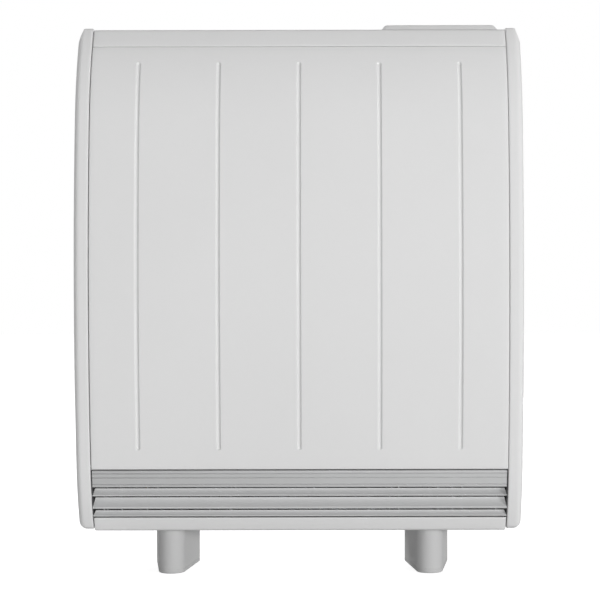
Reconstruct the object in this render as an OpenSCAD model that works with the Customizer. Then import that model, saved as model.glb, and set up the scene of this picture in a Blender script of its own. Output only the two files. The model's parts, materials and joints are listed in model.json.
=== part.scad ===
// Fan-assisted storage heater: a curved steel casing on two feet, a brick core inside
// insulation, a crossflow fan behind the outlet grille and a control panel on top.
// Millimetres. X runs along the width, Y from the front (-) to the wall (+), Z up from the floor.

/* [Casing] */
// Overall width across both side panels
body_w = 582; // [572:1:620]
// Height of the side panels, from the casing's underside to their top edge
casing_h = 663.5; // [655:0.5:690]
// Depth of the casing, from the foremost line of the front to the back panel
casing_d = 175; // [172:1:195]
// Distance that the spacers and the bracket hold the casing off the wall
wall_gap = 10; // [8:1:20]
// Thickness of the casing's sheet steel
skin_t = 1.2; // [0.8:0.1:1.5]
// Width of each side panel, seen from the front
side_rim_w = 19; // [14:1:24]
// Visible joint between the casing's panels
panel_gap = 1.2; // [0.8:0.1:2]
// How far the front and top panels lie inside the side panels' outline
panel_set_back = 0.8; // [0.4:0.1:1.5]
// How far the top panel lies below the side panels' top edge
top_drop = 2; // [1:0.5:4]
// How far the side panels end above the casing's underside
side_lift = 2.5; // [1:0.5:5]

/* [Front curve] */
// Height of the foremost line above the casing's underside
bulge_h = 335; // [300:5:370]
// Radius of the long middle arc
front_r = 1750; // [1500:10:2500]
// Height that the top arc takes up
top_round_h = 123.5; // [110:0.5:135]
// Radius of the top arc
top_r = 300; // [280:5:400]
// Height that the low arc takes up
low_round_h = 90; // [80:1:100]
// Radius of the low arc
low_r = 260; // [240:5:350]
// Radius of the side panels' outer front edge
side_edge_r = 8; // [5:0.5:10]
// Radius of the corner between the front and the top
top_corner_r = 6; // [4:0.5:8]
// Radius of the corner between the front and the underside
low_corner_r = 9; // [5:0.5:12]

/* [Panels] */
// Height of the top panel's front lip
lip_h = 24.5; // [20:0.5:30]
// Number of pressed grooves in the front panel
groove_n = 5; // [3:1:6]
// Distance from the outermost grooves to the front panel's side edges
groove_side_margin = 61.4; // [45:0.1:80]
// Width of a groove
groove_w = 6.5; // [4:0.5:10]
// Depth of a groove
groove_depth = 1.2; // [0.6:0.1:2]
// Distance from a groove's foot to the front panel's lower edge
groove_low_margin = 25; // [15:1:40]
// Distance from a groove's head to the front panel's upper edge
groove_top_margin = 20; // [15:1:40]
// Depth of the folded flanges round the panels
flange_d = 12; // [8:1:16]
// Depth of the side panels' inner flange behind the front
side_flange_d = 48; // [44:1:54]
// Height of the visible strip of the base
strip_h = 18.6; // [14:0.2:24]

/* [Outlet grille] */
// Height of the grille
grille_h = 64.2; // [60:0.2:68]
// Height of the grille's upper fascia
fascia_h = 22.2; // [20:0.2:24]
// Number of louvre blades
blade_n = 3; // [2:1:4]
// Thickness of the grille's walls
grille_t = 1.6; // [1.2:0.1:2.5]
// Gap between the grille's ends and the side panels
grille_end_gap = 2; // [1:0.5:4]
// Depth of the grille's blades and combs behind the front
grille_d = 40; // [36:1:44]

/* [Feet] */
// Height of the feet
foot_h = 60; // [45:1:80]
// Length of a foot, front to back
foot_l = 104; // [90:1:110]
// Radius of a foot's round nose
foot_nose_r = 17.8; // [14:0.2:22]
// Angle by which each flank of a foot opens towards the back
foot_flare = 8.2; // [4:0.2:9]
// Distance of each foot's middle from the side panel's outer face
foot_inset = 118.5; // [110:0.5:130]
// Distance of the feet from the back panel
foot_back_gap = 5; // [2:1:10]

/* [Wall fixing] */
// Length of the wall bracket
bracket_l = 300; // [290:5:400]
// Thickness of the wall bracket
bracket_t = 2; // [1.5:0.5:3]
// Distance between the two wall fixing holes
wall_hole_pitch = 260; // [200:5:260]
// Diameter of the wall fixing holes
wall_hole_d = 7; // [5:0.5:9]
// Height of the wall fixing holes above the floor
wall_hole_z = 660; // [600:5:670]
// Diameter of the wall spacers
spacer_d = 22; // [16:1:30]

/* [Core] */
// Width of the wiring compartment between the core case and the right side
wiring_w = 68; // [66:1:76]
// Height of one storage brick
brick_h = 148; // [140:1:150]
// Thickness of one storage brick
brick_d = 37; // [34:0.5:38]
// Number of brick rows, one above the other
brick_rows = 3; // [2:1:3]
// Thickness of the side, top and base insulation
edge_insulation_t = 30; // [26:1:32]
// Thickness of the front and rear insulation
face_insulation_t = 27; // [22:1:28]
// Thickness of the core case's steel
case_t = 1; // [0.6:0.1:1.2]
// Height of the core case above the casing's underside
core_lift = 105; // [103:1:110]
// Air gap between the core case and the left side
core_side_gap = 14; // [8:1:16]
// Air gap between the core case and the back panel
core_back_gap = 4; // [3:0.5:6]
// Diameter of a heating element
element_d = 8.5; // [6:0.5:10]
// Distance between an element's two legs
element_leg_pitch = 44; // [36:1:60]

/* [Fan and air duct] */
// Outer radius of the fan impeller
fan_r = 24; // [20:0.5:26]
// Distance from the duct's ends to the core case's left end and to its right end
duct_inset = 55; // [50:1:70]
// Number of blades on the impeller
fan_blades = 20; // [12:1:28]
// Diameter of the fan shaft
fan_shaft_d = 6; // [5:0.5:8]
// Running clearance of shafts in their bearings
run_clear = 0.05; // [0.03:0.01:0.08]
// Depth of the mixing flap
flap_d = 27; // [22:1:30]
// Diameter of the mixing flap's shaft
flap_shaft_d = 5; // [4:0.5:6]

/* [Controls] */
// Width of the control hood at its foot
hood_w = 156; // [150:1:164]
// Width of the control hood at its top
hood_top_w = 145; // [142:1:148]
// Height of the control hood above the top panel
hood_h = 7.7; // [6:0.1:10]
// Depth of the control hood
hood_d = 94; // [90:1:96]
// Distance from the hood's right end to the right side panel
hood_end_gap = 8; // [4:1:14]
// Wall of the hood
hood_t = 2; // [1.5:0.1:2.5]
// Width of the display window
display_w = 100; // [84:1:102]
// Depth of the display window
display_d = 34; // [26:1:36]
// Diameter of a button
button_d = 10; // [8:0.5:12]
// Distance between the buttons
button_pitch = 20; // [16:0.5:21]
// How far a button is pressed in
button_travel = 0.8; // [0.5:0.1:1]
// Gap round the buttons and the display window
trim_gap = 0.3; // [0.2:0.05:0.4]

/* [Hidden] */
$fn = 48;

eps = 1;               // overshoot of cutting shapes
curve_fn = 720;        // segments of the big arcs
seat_gap = 0.2;        // fit between pieces that are slid together
hole_fit = 0.1;        // radial play of screws and tubes in their holes
finish_white = "gainsboro";
finish_steel = "silver";

// Casing planes
inner_x = body_w / 2 - side_rim_w;
panel_x = inner_x - panel_gap;
total_d = casing_d + wall_gap;
front_face_y = -total_d / 2;
back_y = front_face_y + casing_d;
wall_y = total_d / 2;
base_z = foot_h;
floor_z = base_z + skin_t;
side_low_z = base_z + side_lift;
side_top_z = base_z + casing_h;
top_z = side_top_z - top_drop;
lip_z = top_z - lip_h;
strip_z = base_z + strip_h;
grille_z = strip_z + grille_h;
front_low_z = grille_z + panel_gap;
front_top_z = lip_z - panel_gap;
inside_back_y = back_y - skin_t;
foot_x = body_w / 2 - foot_inset;
groove_pitch = 2 * (panel_x - groove_side_margin) / (groove_n - 1);

// Front curve: a long middle arc with a tangent arc above and one below it
mid_z = base_z + bulge_h;
mid_y = front_face_y + front_r;
top_angle = asin((side_top_z - top_round_h - mid_z) / front_r);
low_angle = asin((mid_z - base_z - low_round_h) / front_r);
top_cy = mid_y - (front_r - top_r) * cos(top_angle);
top_cz = mid_z + (front_r - top_r) * sin(top_angle);
low_cy = mid_y - (front_r - low_r) * cos(low_angle);
low_cz = mid_z - (front_r - low_r) * sin(low_angle);

function split_top(d) = mid_z + (front_r - d) * sin(top_angle);
function split_low(d) = mid_z - (front_r - d) * sin(low_angle);
function chord(r, h) = sqrt(r * r - h * h);
// Y of the front surface at height z, laid d deeper
function front_y(z, d = 0) =
    z > split_top(d) ? top_cy - chord(top_r - d, z - top_cz) :
    z < split_low(d) ? low_cy - chord(low_r - d, z - low_cz) :
    mid_y - chord(front_r - d, z - mid_z);

// Core: its case leaves the wiring compartment free, and the bricks fill it
brick_w = (2 * (inner_x - edge_insulation_t - case_t) - core_side_gap - wiring_w) / 2;
core_w = 2 * brick_w;
core_d = 2 * brick_d;
core_h = brick_rows * brick_h;
case_x0 = -inner_x + core_side_gap;
case_x1 = case_x0 + core_w + 2 * (edge_insulation_t + case_t);
case_y1 = inside_back_y - core_back_gap;
case_y0 = case_y1 - core_d - 2 * (face_insulation_t + case_t);
case_z0 = base_z + core_lift;
case_z1 = case_z0 + core_h + 2 * (edge_insulation_t + case_t);
bricks_x0 = case_x0 + case_t + edge_insulation_t;
bricks_x1 = bricks_x0 + core_w;
bricks_y0 = case_y0 + case_t + face_insulation_t;
bricks_mid_y = bricks_y0 + brick_d;
bricks_y1 = bricks_y0 + core_d;
bricks_z0 = case_z0 + case_t + edge_insulation_t;
bricks_z1 = bricks_z0 + core_h;
element_r = element_d / 2;
element_fit = 0.25;    // radial play of an element in its groove
element_inset = 14;    // from an element's bend to the left insulation
element_tail = 18;     // length of an element outside the core case
bush_tail = 8;         // length of a bush outside the core case
bush_wall = 4.5;
brick_gap = 0.2;       // joint between bricks
element_bend_x = bricks_x0 + element_leg_pitch / 2 + element_inset;
element_end_x = case_x1 + element_tail;
bush_r = element_r + bush_wall;
bush_end_x = case_x1 + bush_tail;

function row_z(i) = bricks_z0 + (i + 0.5) * brick_h;
leg_zs = [for (i = [0:brick_rows - 1], s = [-1, 1]) row_z(i) + s * element_leg_pitch / 2];

// Fan and duct
sheet_t = 1.2;         // inner sheet metal
fan_gap = 6;           // between the impeller's ends and the end plates
fan_back_gap = 9;      // between the impeller and the line of the core case's back
fan_lift = 48;         // height of the fan's axis above the casing's underside
scroll_gap = 6;        // between the impeller and its scroll
plate_lap = 17.6;      // how much further in the duct's right end lies, for the fan motor
grille_back_y = front_y(grille_z) + grille_d;
fan_y = case_y1 - fan_r - fan_back_gap;
fan_z = base_z + fan_lift;
scroll_r = fan_r + scroll_gap;
duct_x0 = case_x0 + duct_inset;
duct_x1 = case_x1 - duct_inset - plate_lap;
fan_l = duct_x1 - duct_x0 - 2 * (fan_gap + sheet_t);
duct_y0 = grille_back_y + seat_gap;
duct_y1 = fan_y - scroll_r;
duct_z0 = strip_z;
duct_z1 = fan_z + scroll_r;
flap_shaft_r = flap_shaft_d / 2;
flap_back_gap = 6;     // between the flap's shaft and the duct's back end
flap_lap = 5;          // how far the flap reaches beyond the neck that it covers
flap_top_gap = 1;      // between the flap's shaft and the duct's top
flap_y = duct_y1 - flap_back_gap;
flap_z = duct_z1 - sheet_t - flap_shaft_r - flap_top_gap;
neck_y1 = flap_y - flap_shaft_r;
neck_y0 = neck_y1 - flap_d + flap_lap;
motor_gap = 8;         // between the duct's end plate and the fan motor
motor_x0 = duct_x1 + motor_gap;
motor_l = 26;
motor_w = 52;
motor_y1 = fan_y + 14; // back of the motor
motor_plate_t = 2;
motor_post_r = 3.5;
motor_post_inset = 5;
armature_r = 12;
armature_gap = 0.4;

// Right-hand wiring compartment
plate_gap = 10;        // between the core case and the board bracket
board_gap = 10;        // between the bracket's plate and the power board
bracket_plate_x = case_x1 + plate_gap;
board_x = bracket_plate_x + sheet_t + board_gap;
cutout_l = 12;
cutout_r = 13;
cutout_z = bricks_z0 + 2 * brick_h;

// Controls
hood_x = inner_x - hood_end_gap - hood_w / 2;
hood_z = top_z + hood_h;
hood_front_gap = 4;    // between the rounded front edge and the hood
hood_seat = 5;         // width of the top panel's rim under the hood's ends
hood_front_seat = 9;   // depth of that rim under the hood's front and back
board_edge = 6;        // from a board's edge to its posts, and from it to the opening
board_drop = 8;        // depth of the control board below the top panel
button_inset = 17;     // from the opening's front edge to the buttons' middle
display_inset = 4;     // from the opening's back edge to the display window
hood_y0 = front_y(top_z - top_corner_r, top_corner_r) + hood_front_gap;
hood_y1 = hood_y0 + hood_d;
hood_side_slope = (hood_w - hood_top_w) / 2;
opening_half_w = hood_top_w / 2 - hood_seat;
opening_y0 = hood_y0 + hood_front_seat;
opening_y1 = hood_y1 - hood_front_seat;
board_t = 1.6;
board_top_z = top_z - board_drop;
board_half_w = opening_half_w - board_edge;
post_x = board_half_w - board_edge;
post_r = 2.5;
display_y = opening_y1 - display_inset - display_d / 2;
button_y = opening_y0 + button_inset;
button_top_z = hood_z + button_travel;
button_r = button_d / 2;
button_n = 5;
collar_t = 1.2;        // thickness of a button's collar, and how far it stands out
stem_r = 1.6;          // radius of a button's stem and of the switch's pin
switch_w = 6;
switch_body_h = 3;
switch_h = 4;          // height of a switch with its pin

// Shapes ---------------------------------------------------------------------

module block(x0, x1, y0, y1, z0, z1)
    translate([min(x0, x1), y0, z0]) cube([abs(x1 - x0), y1 - y0, z1 - z0]);
module bar_x(x0, x1, y, z, r) translate([x0, y, z]) rotate([0, 90, 0]) cylinder(h = x1 - x0, r = r);
module bar_y(y0, y1, x, z, r) translate([x, y1, z]) rotate([90, 0, 0]) cylinder(h = y1 - y0, r = r);
module bar_z(z0, z1, x, y, r) translate([x, y, z0]) cylinder(h = z1 - z0, r = r);
// A shape drawn in Y and Z, drawn out along X
module along_x(x0, x1)
    translate([min(x0, x1), 0, 0]) rotate([90, 0, 90]) linear_extrude(abs(x1 - x0)) children();
// A shape drawn in X and Z, drawn out along Y
module along_y(y0, y1) translate([0, y1, 0]) rotate([90, 0, 0]) linear_extrude(y1 - y0) children();
module rect(a0, a1, b0, b1) translate([min(a0, a1), b0]) square([abs(a1 - a0), b1 - b0]);
module disc(a, b, r) translate([a, b]) circle(r);

module arc_part(cy, cz, r, z0, z1, y1) if (z1 > z0) intersection() {
    translate([cy, cz]) circle(r, $fn = curve_fn);
    rect(front_face_y - eps, y1, z0, z1);
}

// Everything behind the front curve laid d deeper, between two heights
module behind_front(d, z0, z1, y1 = back_y) {
    arc_part(top_cy, top_cz, top_r - d, max(z0, split_top(d)), z1, y1);
    arc_part(mid_y, mid_z, front_r - d, max(z0, split_low(d)), min(z1, split_top(d)), y1);
    arc_part(low_cy, low_cz, low_r - d, z0, min(z1, split_low(d)), y1);
}

// A skin of thickness t that follows the front curve, d behind it
module front_skin(d, t, z0, z1) difference() {
    behind_front(d, z0, z1);
    behind_front(d + t, z0 - eps, z1 + eps, back_y + eps);
}

// The same outline with its top and low front corners rounded
module rounded_front(d, z0, z1, r_top, r_low, y1 = back_y) {
    top_fz = z1 - r_top;
    top_fy = top_cy - chord(top_r - d - r_top, top_fz - top_cz);
    top_touch = r_top > 0 ? top_cz + (top_r - d) * (top_fz - top_cz) / (top_r - d - r_top) : z1;
    low_fz = z0 + r_low;
    low_fy = low_cy - chord(low_r - d - r_low, low_fz - low_cz);
    low_touch = r_low > 0 ? low_cz + (low_r - d) * (low_fz - low_cz) / (low_r - d - r_low) : z0;
    behind_front(d, low_touch, top_touch, y1);
    if (r_top > 0) {
        disc(top_fy, top_fz, r_top);
        rect(top_fy, y1, top_touch, z1);
    }
    if (r_low > 0) {
        disc(low_fy, low_fz, r_low);
        rect(low_fy, y1, z0, low_touch);
    }
}

// Casing ---------------------------------------------------------------------

// The side s is 1 for the right side panel and -1 for the left one.
// A thick round plate about X with a rounded outer edge, cut to a slab of heights
module coin(s, cy, cz, r, z0, z1) intersection() {
    translate([s * inner_x, cy, cz]) rotate([0, s * 90, 0]) rotate_extrude($fn = curve_fn) {
        rect(0, r - side_edge_r, 0, side_rim_w);
        rect(0, r, 0, side_rim_w - side_edge_r);
        disc(r - side_edge_r, side_rim_w - side_edge_r, side_edge_r);
    }
    block(s * (inner_x - eps), s * (body_w / 2 + eps), front_face_y - eps, back_y, z0, z1);
}

low_end_r = low_corner_r + 2;
top_end_r = top_corner_r - 1;
corner_clear = 0.15;   // how far the corner rounding lies in front of the curve

// A side panel's outside: a curved, rounded front edge and rounded ends
module side_blank(s) {
    x1 = body_w / 2;
    intersection() {
        union() {
            coin(s, top_cy, top_cz, top_r, split_top(0), side_top_z + eps);
            coin(s, mid_y, mid_z, front_r, split_low(0), split_top(0));
            coin(s, low_cy, low_cz, low_r, side_low_z - eps, split_low(0));
        }
        along_x(s * (inner_x - eps), s * (x1 + eps))
            rounded_front(-corner_clear, side_low_z, side_top_z, top_corner_r, low_corner_r, back_y + eps);
        along_y(front_face_y - eps, back_y + eps) {
            rect(s * (inner_x - eps), s * x1, side_low_z + low_end_r, side_top_z - top_end_r);
            rect(s * (inner_x - eps), s * (x1 - low_end_r), side_low_z, side_low_z + low_end_r);
            rect(s * (inner_x - eps), s * (x1 - top_end_r), side_top_z - top_end_r, side_top_z);
            disc(s * (x1 - low_end_r), side_low_z + low_end_r, low_end_r);
            disc(s * (x1 - top_end_r), side_top_z - top_end_r, top_end_r);
        }
    }
}

// How far the hollow stands in from an outer face, at angle a of a rounded edge of radius r
function hollow_in(r, a) = r - (r - skin_t) * sin(a);

module side_panel(s) color(finish_white) difference() {
    side_blank(s);
    // The hollow steps round the outer edges
    for (a = [0, 30, 60, 90])
        along_x(s * (inner_x + skin_t), s * (body_w / 2 - hollow_in(side_edge_r, 90 - a)))
            behind_front(hollow_in(side_edge_r, a), side_low_z + hollow_in(low_end_r, a),
                side_top_z - hollow_in(top_end_r, a), back_y - skin_t);
    // The inner face is a flange round a large window
    along_x(s * (inner_x - eps), s * (inner_x + skin_t + eps))
        behind_front(side_flange_d, side_low_z + 2 * flange_d, side_top_z - 2 * flange_d,
            back_y - 2 * flange_d);
}
module left_side_panel() side_panel(-1);
module right_side_panel() side_panel(1);

module top_panel() color(finish_white) difference() {
    union() {
        along_x(-panel_x, panel_x) difference() {
            rounded_front(panel_set_back, lip_z, top_z, top_corner_r, 0);
            rounded_front(panel_set_back + skin_t, lip_z - eps, top_z - skin_t,
                top_corner_r - skin_t, 0, back_y + eps);
        }
        for (x = [-panel_x, panel_x - skin_t])
            along_x(x, x + skin_t) difference() {
                rounded_front(panel_set_back, lip_z, top_z, top_corner_r, 0, back_y - 3 * flange_d);
                behind_front(panel_set_back + flange_d, lip_z - eps, top_z - flange_d);
            }
    }
    block(hood_x - opening_half_w, hood_x + opening_half_w, opening_y0, opening_y1,
        top_z - skin_t - eps, top_z + eps);
}

module groove_outline(x, w, z0, z1) {
    rect(x - w / 2, x + w / 2, z0 + w / 2, z1 - w / 2);
    disc(x, z0 + w / 2, w / 2);
    disc(x, z1 - w / 2, w / 2);
}

// The strip of the front skin that lies from d to d + t behind the front curve, one for each groove
module groove_strips(d, t, w) intersection() {
    along_x(-panel_x, panel_x) front_skin(d, t, front_low_z, front_top_z);
    along_y(front_face_y - eps, back_y)
        for (i = [0:groove_n - 1])
            groove_outline((i - (groove_n - 1) / 2) * groove_pitch, w,
                front_low_z + groove_low_margin - (w - groove_w) / 2,
                front_top_z - groove_top_margin + (w - groove_w) / 2);
}

tab_w = 40;
tab_h = 11;
module front_panel() color(finish_white) {
    difference() {
        union() {
            along_x(-panel_x, panel_x) front_skin(panel_set_back, skin_t, front_low_z, front_top_z);
            groove_strips(panel_set_back + skin_t / 2, skin_t / 2 + groove_depth,
                groove_w + 2 * skin_t);
        }
        groove_strips(0, panel_set_back + groove_depth, groove_w);
    }
    for (x = [-panel_x, panel_x - skin_t])
        along_x(x, x + skin_t) front_skin(panel_set_back, flange_d, front_low_z, front_top_z);
    along_x(-panel_x, panel_x) {
        front_skin(panel_set_back, flange_d, front_low_z, front_low_z + skin_t);
        front_skin(panel_set_back, flange_d, front_top_z - skin_t, front_top_z);
    }
    // Hooks that stand up behind the top panel's lip
    for (x = [-inner_x / 2, inner_x / 2])
        along_x(x - tab_w / 2, x + tab_w / 2)
            front_skin(panel_set_back + skin_t + seat_gap, skin_t, front_top_z - skin_t, front_top_z + tab_h);
}

slot_n = 13;
slot_pitch = 16;
slot_w = 6;
slot_l = 42;
foot_y0 = back_y - foot_back_gap - foot_l;
foot_screw_r = 2.5;
foot_screw_l = 18;
foot_screw_inset = 24; // from a foot's ends to its screws
foot_screw_ys = [foot_y0 + foot_screw_inset, foot_y0 + foot_l - foot_screw_inset];
fan_mid_x = (duct_x0 + duct_x1) / 2;
gland_inset = 30;      // from the right side panel to the cable gland's middle
gland_back_gap = 26;   // from the back panel's outer face to the gland's middle
gland_x = inner_x - gland_inset;
gland_y = back_y - gland_back_gap;
gland_r = 8;
gland_bore_r = 4.75;

module base_tray() color(finish_white) difference() {
    union() {
        // Front strip, turned in at its top edge
        along_x(-panel_x, panel_x) {
            difference() {
                rounded_front(panel_set_back, base_z, strip_z, 0, top_corner_r);
                rounded_front(panel_set_back + skin_t, floor_z, strip_z + eps, 0,
                    top_corner_r - skin_t, back_y + eps);
            }
            difference() {
                behind_front(panel_set_back + skin_t / 2, strip_z - skin_t, strip_z);
                rect(front_y(strip_z) + flange_d + skin_t, back_y + eps, strip_z - 2 * skin_t, strip_z + eps);
            }
        }
        // End tabs that the side panels are screwed to
        for (x = [-inner_x, inner_x - skin_t - panel_gap])
            block(x, x + skin_t + panel_gap, front_y(base_z) + 2 * flange_d, inside_back_y - seat_gap,
                base_z, floor_z + flange_d);
    }
    for (i = [0:slot_n - 1])
        translate([fan_mid_x + (i - (slot_n - 1) / 2) * slot_pitch - slot_w / 2,
            fan_y - slot_l / 2, base_z - eps])
            cube([slot_w, slot_l, skin_t + 2 * eps]);
    for (s = [-1, 1], y = foot_screw_ys)
        bar_z(base_z - eps, floor_z + eps, s * foot_x, y, foot_screw_r + hole_fit);
    bar_z(base_z - eps, floor_z + eps, gland_x, gland_y, gland_r + hole_fit);
}

module back_panel() color(finish_white) difference() {
    union() {
        block(-inner_x, inner_x, inside_back_y, back_y, floor_z, top_z - skin_t);
        block(-panel_x, panel_x, back_y - 2 * flange_d, back_y, top_z - 2 * skin_t, top_z - skin_t);
        for (x = [-inner_x, inner_x - skin_t])
            block(x, x + skin_t, back_y - flange_d, back_y, floor_z + flange_d + panel_gap, top_z - skin_t);
    }
    for (p = back_screw_points)
        bar_y(inside_back_y - eps, back_y + eps, p[0], p[1], screw_r + hole_fit);
}

module foot_plan(x) {
    y_nose = foot_y0 + foot_nose_r;
    touch_y = y_nose - foot_nose_r * sin(foot_flare);
    touch_half = foot_nose_r * cos(foot_flare);
    back_half = touch_half + (foot_y0 + foot_l - touch_y) * tan(foot_flare);
    translate([x, 0]) {
        translate([0, y_nose]) circle(foot_nose_r, $fn = 96);
        polygon([[-touch_half, touch_y], [touch_half, touch_y],
            [back_half, foot_y0 + foot_l], [-back_half, foot_y0 + foot_l]]);
    }
}
module foot(x) difference() {
    linear_extrude(foot_h) foot_plan(x);
    for (y = foot_screw_ys)
        bar_z(foot_h - foot_screw_l - eps, foot_h + eps, x, y, foot_screw_r + hole_fit);
}
screw_head_t = 1.8;
module left_foot() color("darkgray") foot(-foot_x);
module right_foot() color("darkgray") foot(foot_x);
module foot_screws() color(finish_steel)
    for (s = [-1, 1], y = foot_screw_ys) {
        bar_z(foot_h - foot_screw_l, floor_z + screw_head_t, s * foot_x, y, foot_screw_r);
        bar_z(floor_z, floor_z + 2 * screw_head_t, s * foot_x, y, 2 * foot_screw_r);
    }

// Wall fixing ----------------------------------------------------------------

bracket_web_h = 40;
bracket_foot_h = 16;
screw_r = 2;
spacer_inset = 42;     // from the side panels' inner face to the spacers
spacer_lift = 60;      // height of the spacers above the casing's underside
bracket_screw_inset = 20;
spacer_x = inner_x - spacer_inset;
spacer_z = base_z + spacer_lift;
back_screw_points = [
    for (s = [-1, 1], z = [-1, 1])
        [s * (bracket_l / 2 - bracket_screw_inset), wall_hole_z + z * (bracket_web_h + bracket_foot_h) / 2],
    for (s = [-1, 1]) [s * spacer_x, spacer_z]
];

module wall_bracket() color(finish_steel) difference() {
    along_x(-bracket_l / 2, bracket_l / 2) {
        rect(wall_y - bracket_t, wall_y, wall_hole_z - bracket_web_h / 2, wall_hole_z + bracket_web_h / 2);
        for (s = [-1, 1]) {
            z = wall_hole_z + s * (bracket_web_h - bracket_t) / 2;
            rect(back_y, wall_y, z - bracket_t / 2, z + bracket_t / 2);
            f = wall_hole_z + s * (bracket_web_h + bracket_foot_h - bracket_t) / 2;
            rect(back_y, back_y + bracket_t, f - bracket_foot_h / 2, f + bracket_foot_h / 2);
        }
    }
    for (s = [-1, 1])
        bar_y(wall_y - bracket_t - eps, wall_y + eps, s * wall_hole_pitch / 2, wall_hole_z, wall_hole_d / 2);
    for (i = [0:3])
        bar_y(back_y - eps, back_y + bracket_t + eps, back_screw_points[i][0], back_screw_points[i][1],
            screw_r + hole_fit);
}

spacer_head_d = 5;     // depth of the screw's recess in a spacer
module wall_spacers() color("dimgray")
    for (s = [-1, 1]) difference() {
        bar_y(back_y, wall_y, s * spacer_x, spacer_z, spacer_d / 2);
        bar_y(back_y - eps, wall_y + eps, s * spacer_x, spacer_z, screw_r + hole_fit);
        bar_y(wall_y - spacer_head_d, wall_y + eps, s * spacer_x, spacer_z, 2 * screw_r + trim_gap);
    }

module back_screws() color(finish_steel)
    for (i = [0:len(back_screw_points) - 1]) {
        p = back_screw_points[i];
        seat_y = i < 4 ? back_y + bracket_t : wall_y - spacer_head_d;
        bar_y(inside_back_y - screw_r, seat_y + screw_head_t / 2, p[0], p[1], screw_r);
        bar_y(seat_y, seat_y + screw_head_t, p[0], p[1], 2 * screw_r);
    }

// Outlet grille --------------------------------------------------------------

fascia_z = grille_z - fascia_h;
blade_zone = fascia_z - strip_z;
blade_pitch = blade_zone / blade_n;
blade_nose_r = 1.6;
blade_rise = blade_pitch * 0.82;
nose_slope = 50;       // slope of a blade's hollow face at its nose
crest_slope = 84;      // and at its upper edge
blade_bend_r = blade_rise / (cos(nose_slope) - cos(crest_slope));
blade_run = blade_bend_r * (sin(crest_slope) - sin(nose_slope));
blade_foot_gap = 1.6;  // from a blade's nose to the foot of its share of the height
mid_blade_drop = 1.2;  // how much lower the second blade hangs
first_blade_d = 7;     // how far the top blade lies behind the front curve
comb_inset = 14;       // from the side panels to the outermost combs
comb_d = 12;           // depth of the combs' back posts
comb_foot_h = 3;
comb_xs = [-inner_x + comb_inset, -inner_x / 3, inner_x / 3, inner_x - comb_inset];
fascia_t = 2.2;
line_w = 1.1;          // width of the fascia's pressed lines
line_depth = 0.9;      // and their depth
fascia_line_zs = [grille_z - 4.3, grille_z - 9.8, grille_z - 18.8];

// Nose of blade i, counted from the top: the first lies deeper, the others follow the front curve
function nose_z(i) = fascia_z - (i + 1) * blade_pitch + blade_nose_r + blade_foot_gap
    - (i == 1 ? mid_blade_drop : 0);
function nose_y(i) = front_y(nose_z(i)) + (i == 0 ? first_blade_d : blade_nose_r + panel_set_back);

// From the middle of a blade's bend towards a slope of its face
function blade_ray(slope) = 2 * blade_bend_r * [sin(slope), -cos(slope)];

// A round nose and a hollow face that grows steeper upwards
module blade(i) translate([nose_y(i), nose_z(i)]) {
    circle(blade_nose_r);
    translate([-blade_bend_r * sin(nose_slope), blade_bend_r * cos(nose_slope)])
        intersection() {
            difference() {
                circle(blade_bend_r, $fn = 180);
                circle(blade_bend_r - grille_t, $fn = 180);
            }
            polygon([[0, 0], blade_ray(nose_slope), blade_ray(crest_slope)]);
        }
}

// A fine line pressed into the fascia
module front_line(z)
    rect(front_face_y - eps, front_y(z) + panel_set_back + line_depth, z - line_w / 2, z + line_w / 2);

module outlet_grille() color("silver") {
    half = inner_x - grille_end_gap;
    along_x(-half, half) {
        difference() {
            front_skin(panel_set_back, fascia_t, fascia_z, grille_z);
            for (z = fascia_line_zs)
                front_line(z);
        }
        front_skin(panel_set_back, flange_d, grille_z - grille_t, grille_z);
        front_skin(panel_set_back, 2 * fascia_t, fascia_z, fascia_z + grille_t);
        for (i = [0:blade_n - 1]) blade(i);
    }
    for (x = comb_xs)
        along_x(x - grille_t / 2, x + grille_t / 2) {
            rect(grille_back_y - comb_d, grille_back_y, strip_z, front_low_z);
            rect(front_y(fascia_z) + fascia_t, grille_back_y, fascia_z + eps, grille_z - eps);
            rect(front_y(grille_z) + flange_d - 2 * fascia_t, grille_back_y,
                grille_z - comb_foot_h, front_low_z);
            // An arm to the back of each blade
            for (i = [0:blade_n - 1])
                rect(nose_y(i) + blade_run * 0.75, grille_back_y, nose_z(i) + blade_rise * 0.45,
                    nose_z(i) + blade_rise * 0.7);
            rect(front_y(strip_z) + comb_foot_h, grille_back_y, strip_z, strip_z + comb_foot_h);
        }
}

// Controls -------------------------------------------------------------------

module trapezoid(m, foot_half, top_half, z0, z1)
    polygon([[m - foot_half, z0], [m + foot_half, z0], [m + top_half, z1], [m - top_half, z1]]);

// A low frustum: the hood's outside laid d deeper
module hood_blank(d, z0) intersection() {
    along_y(hood_y0 - eps, hood_y1 + eps)
        trapezoid(hood_x, hood_w / 2 - d, hood_top_w / 2 - d, z0, hood_z - d);
    along_x(hood_x - hood_w, hood_x + hood_w)
        trapezoid((hood_y0 + hood_y1) / 2, hood_d / 2 - d, hood_d / 2 - hood_side_slope - d, z0, hood_z - d);
}

function button_x(i) = hood_x + (i - (button_n - 1) / 2) * button_pitch;

module control_hood() color(finish_white) {
    difference() {
        hood_blank(0, top_z);
        hood_blank(hood_t, top_z - eps);
        for (i = [0:button_n - 1])
            bar_z(top_z, hood_z + eps, button_x(i), button_y, button_r + trim_gap);
        block(hood_x - display_w / 2 - trim_gap, hood_x + display_w / 2 + trim_gap,
            display_y - display_d / 2 - trim_gap, display_y + display_d / 2 + trim_gap,
            top_z, hood_z + eps);
    }
    // Posts for the control board
    for (s = [-1, 1], y = [opening_y0 + board_edge, opening_y1 - board_edge])
        bar_z(board_top_z, hood_z - hood_t / 2, hood_x + s * post_x, y, post_r);
}

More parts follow.
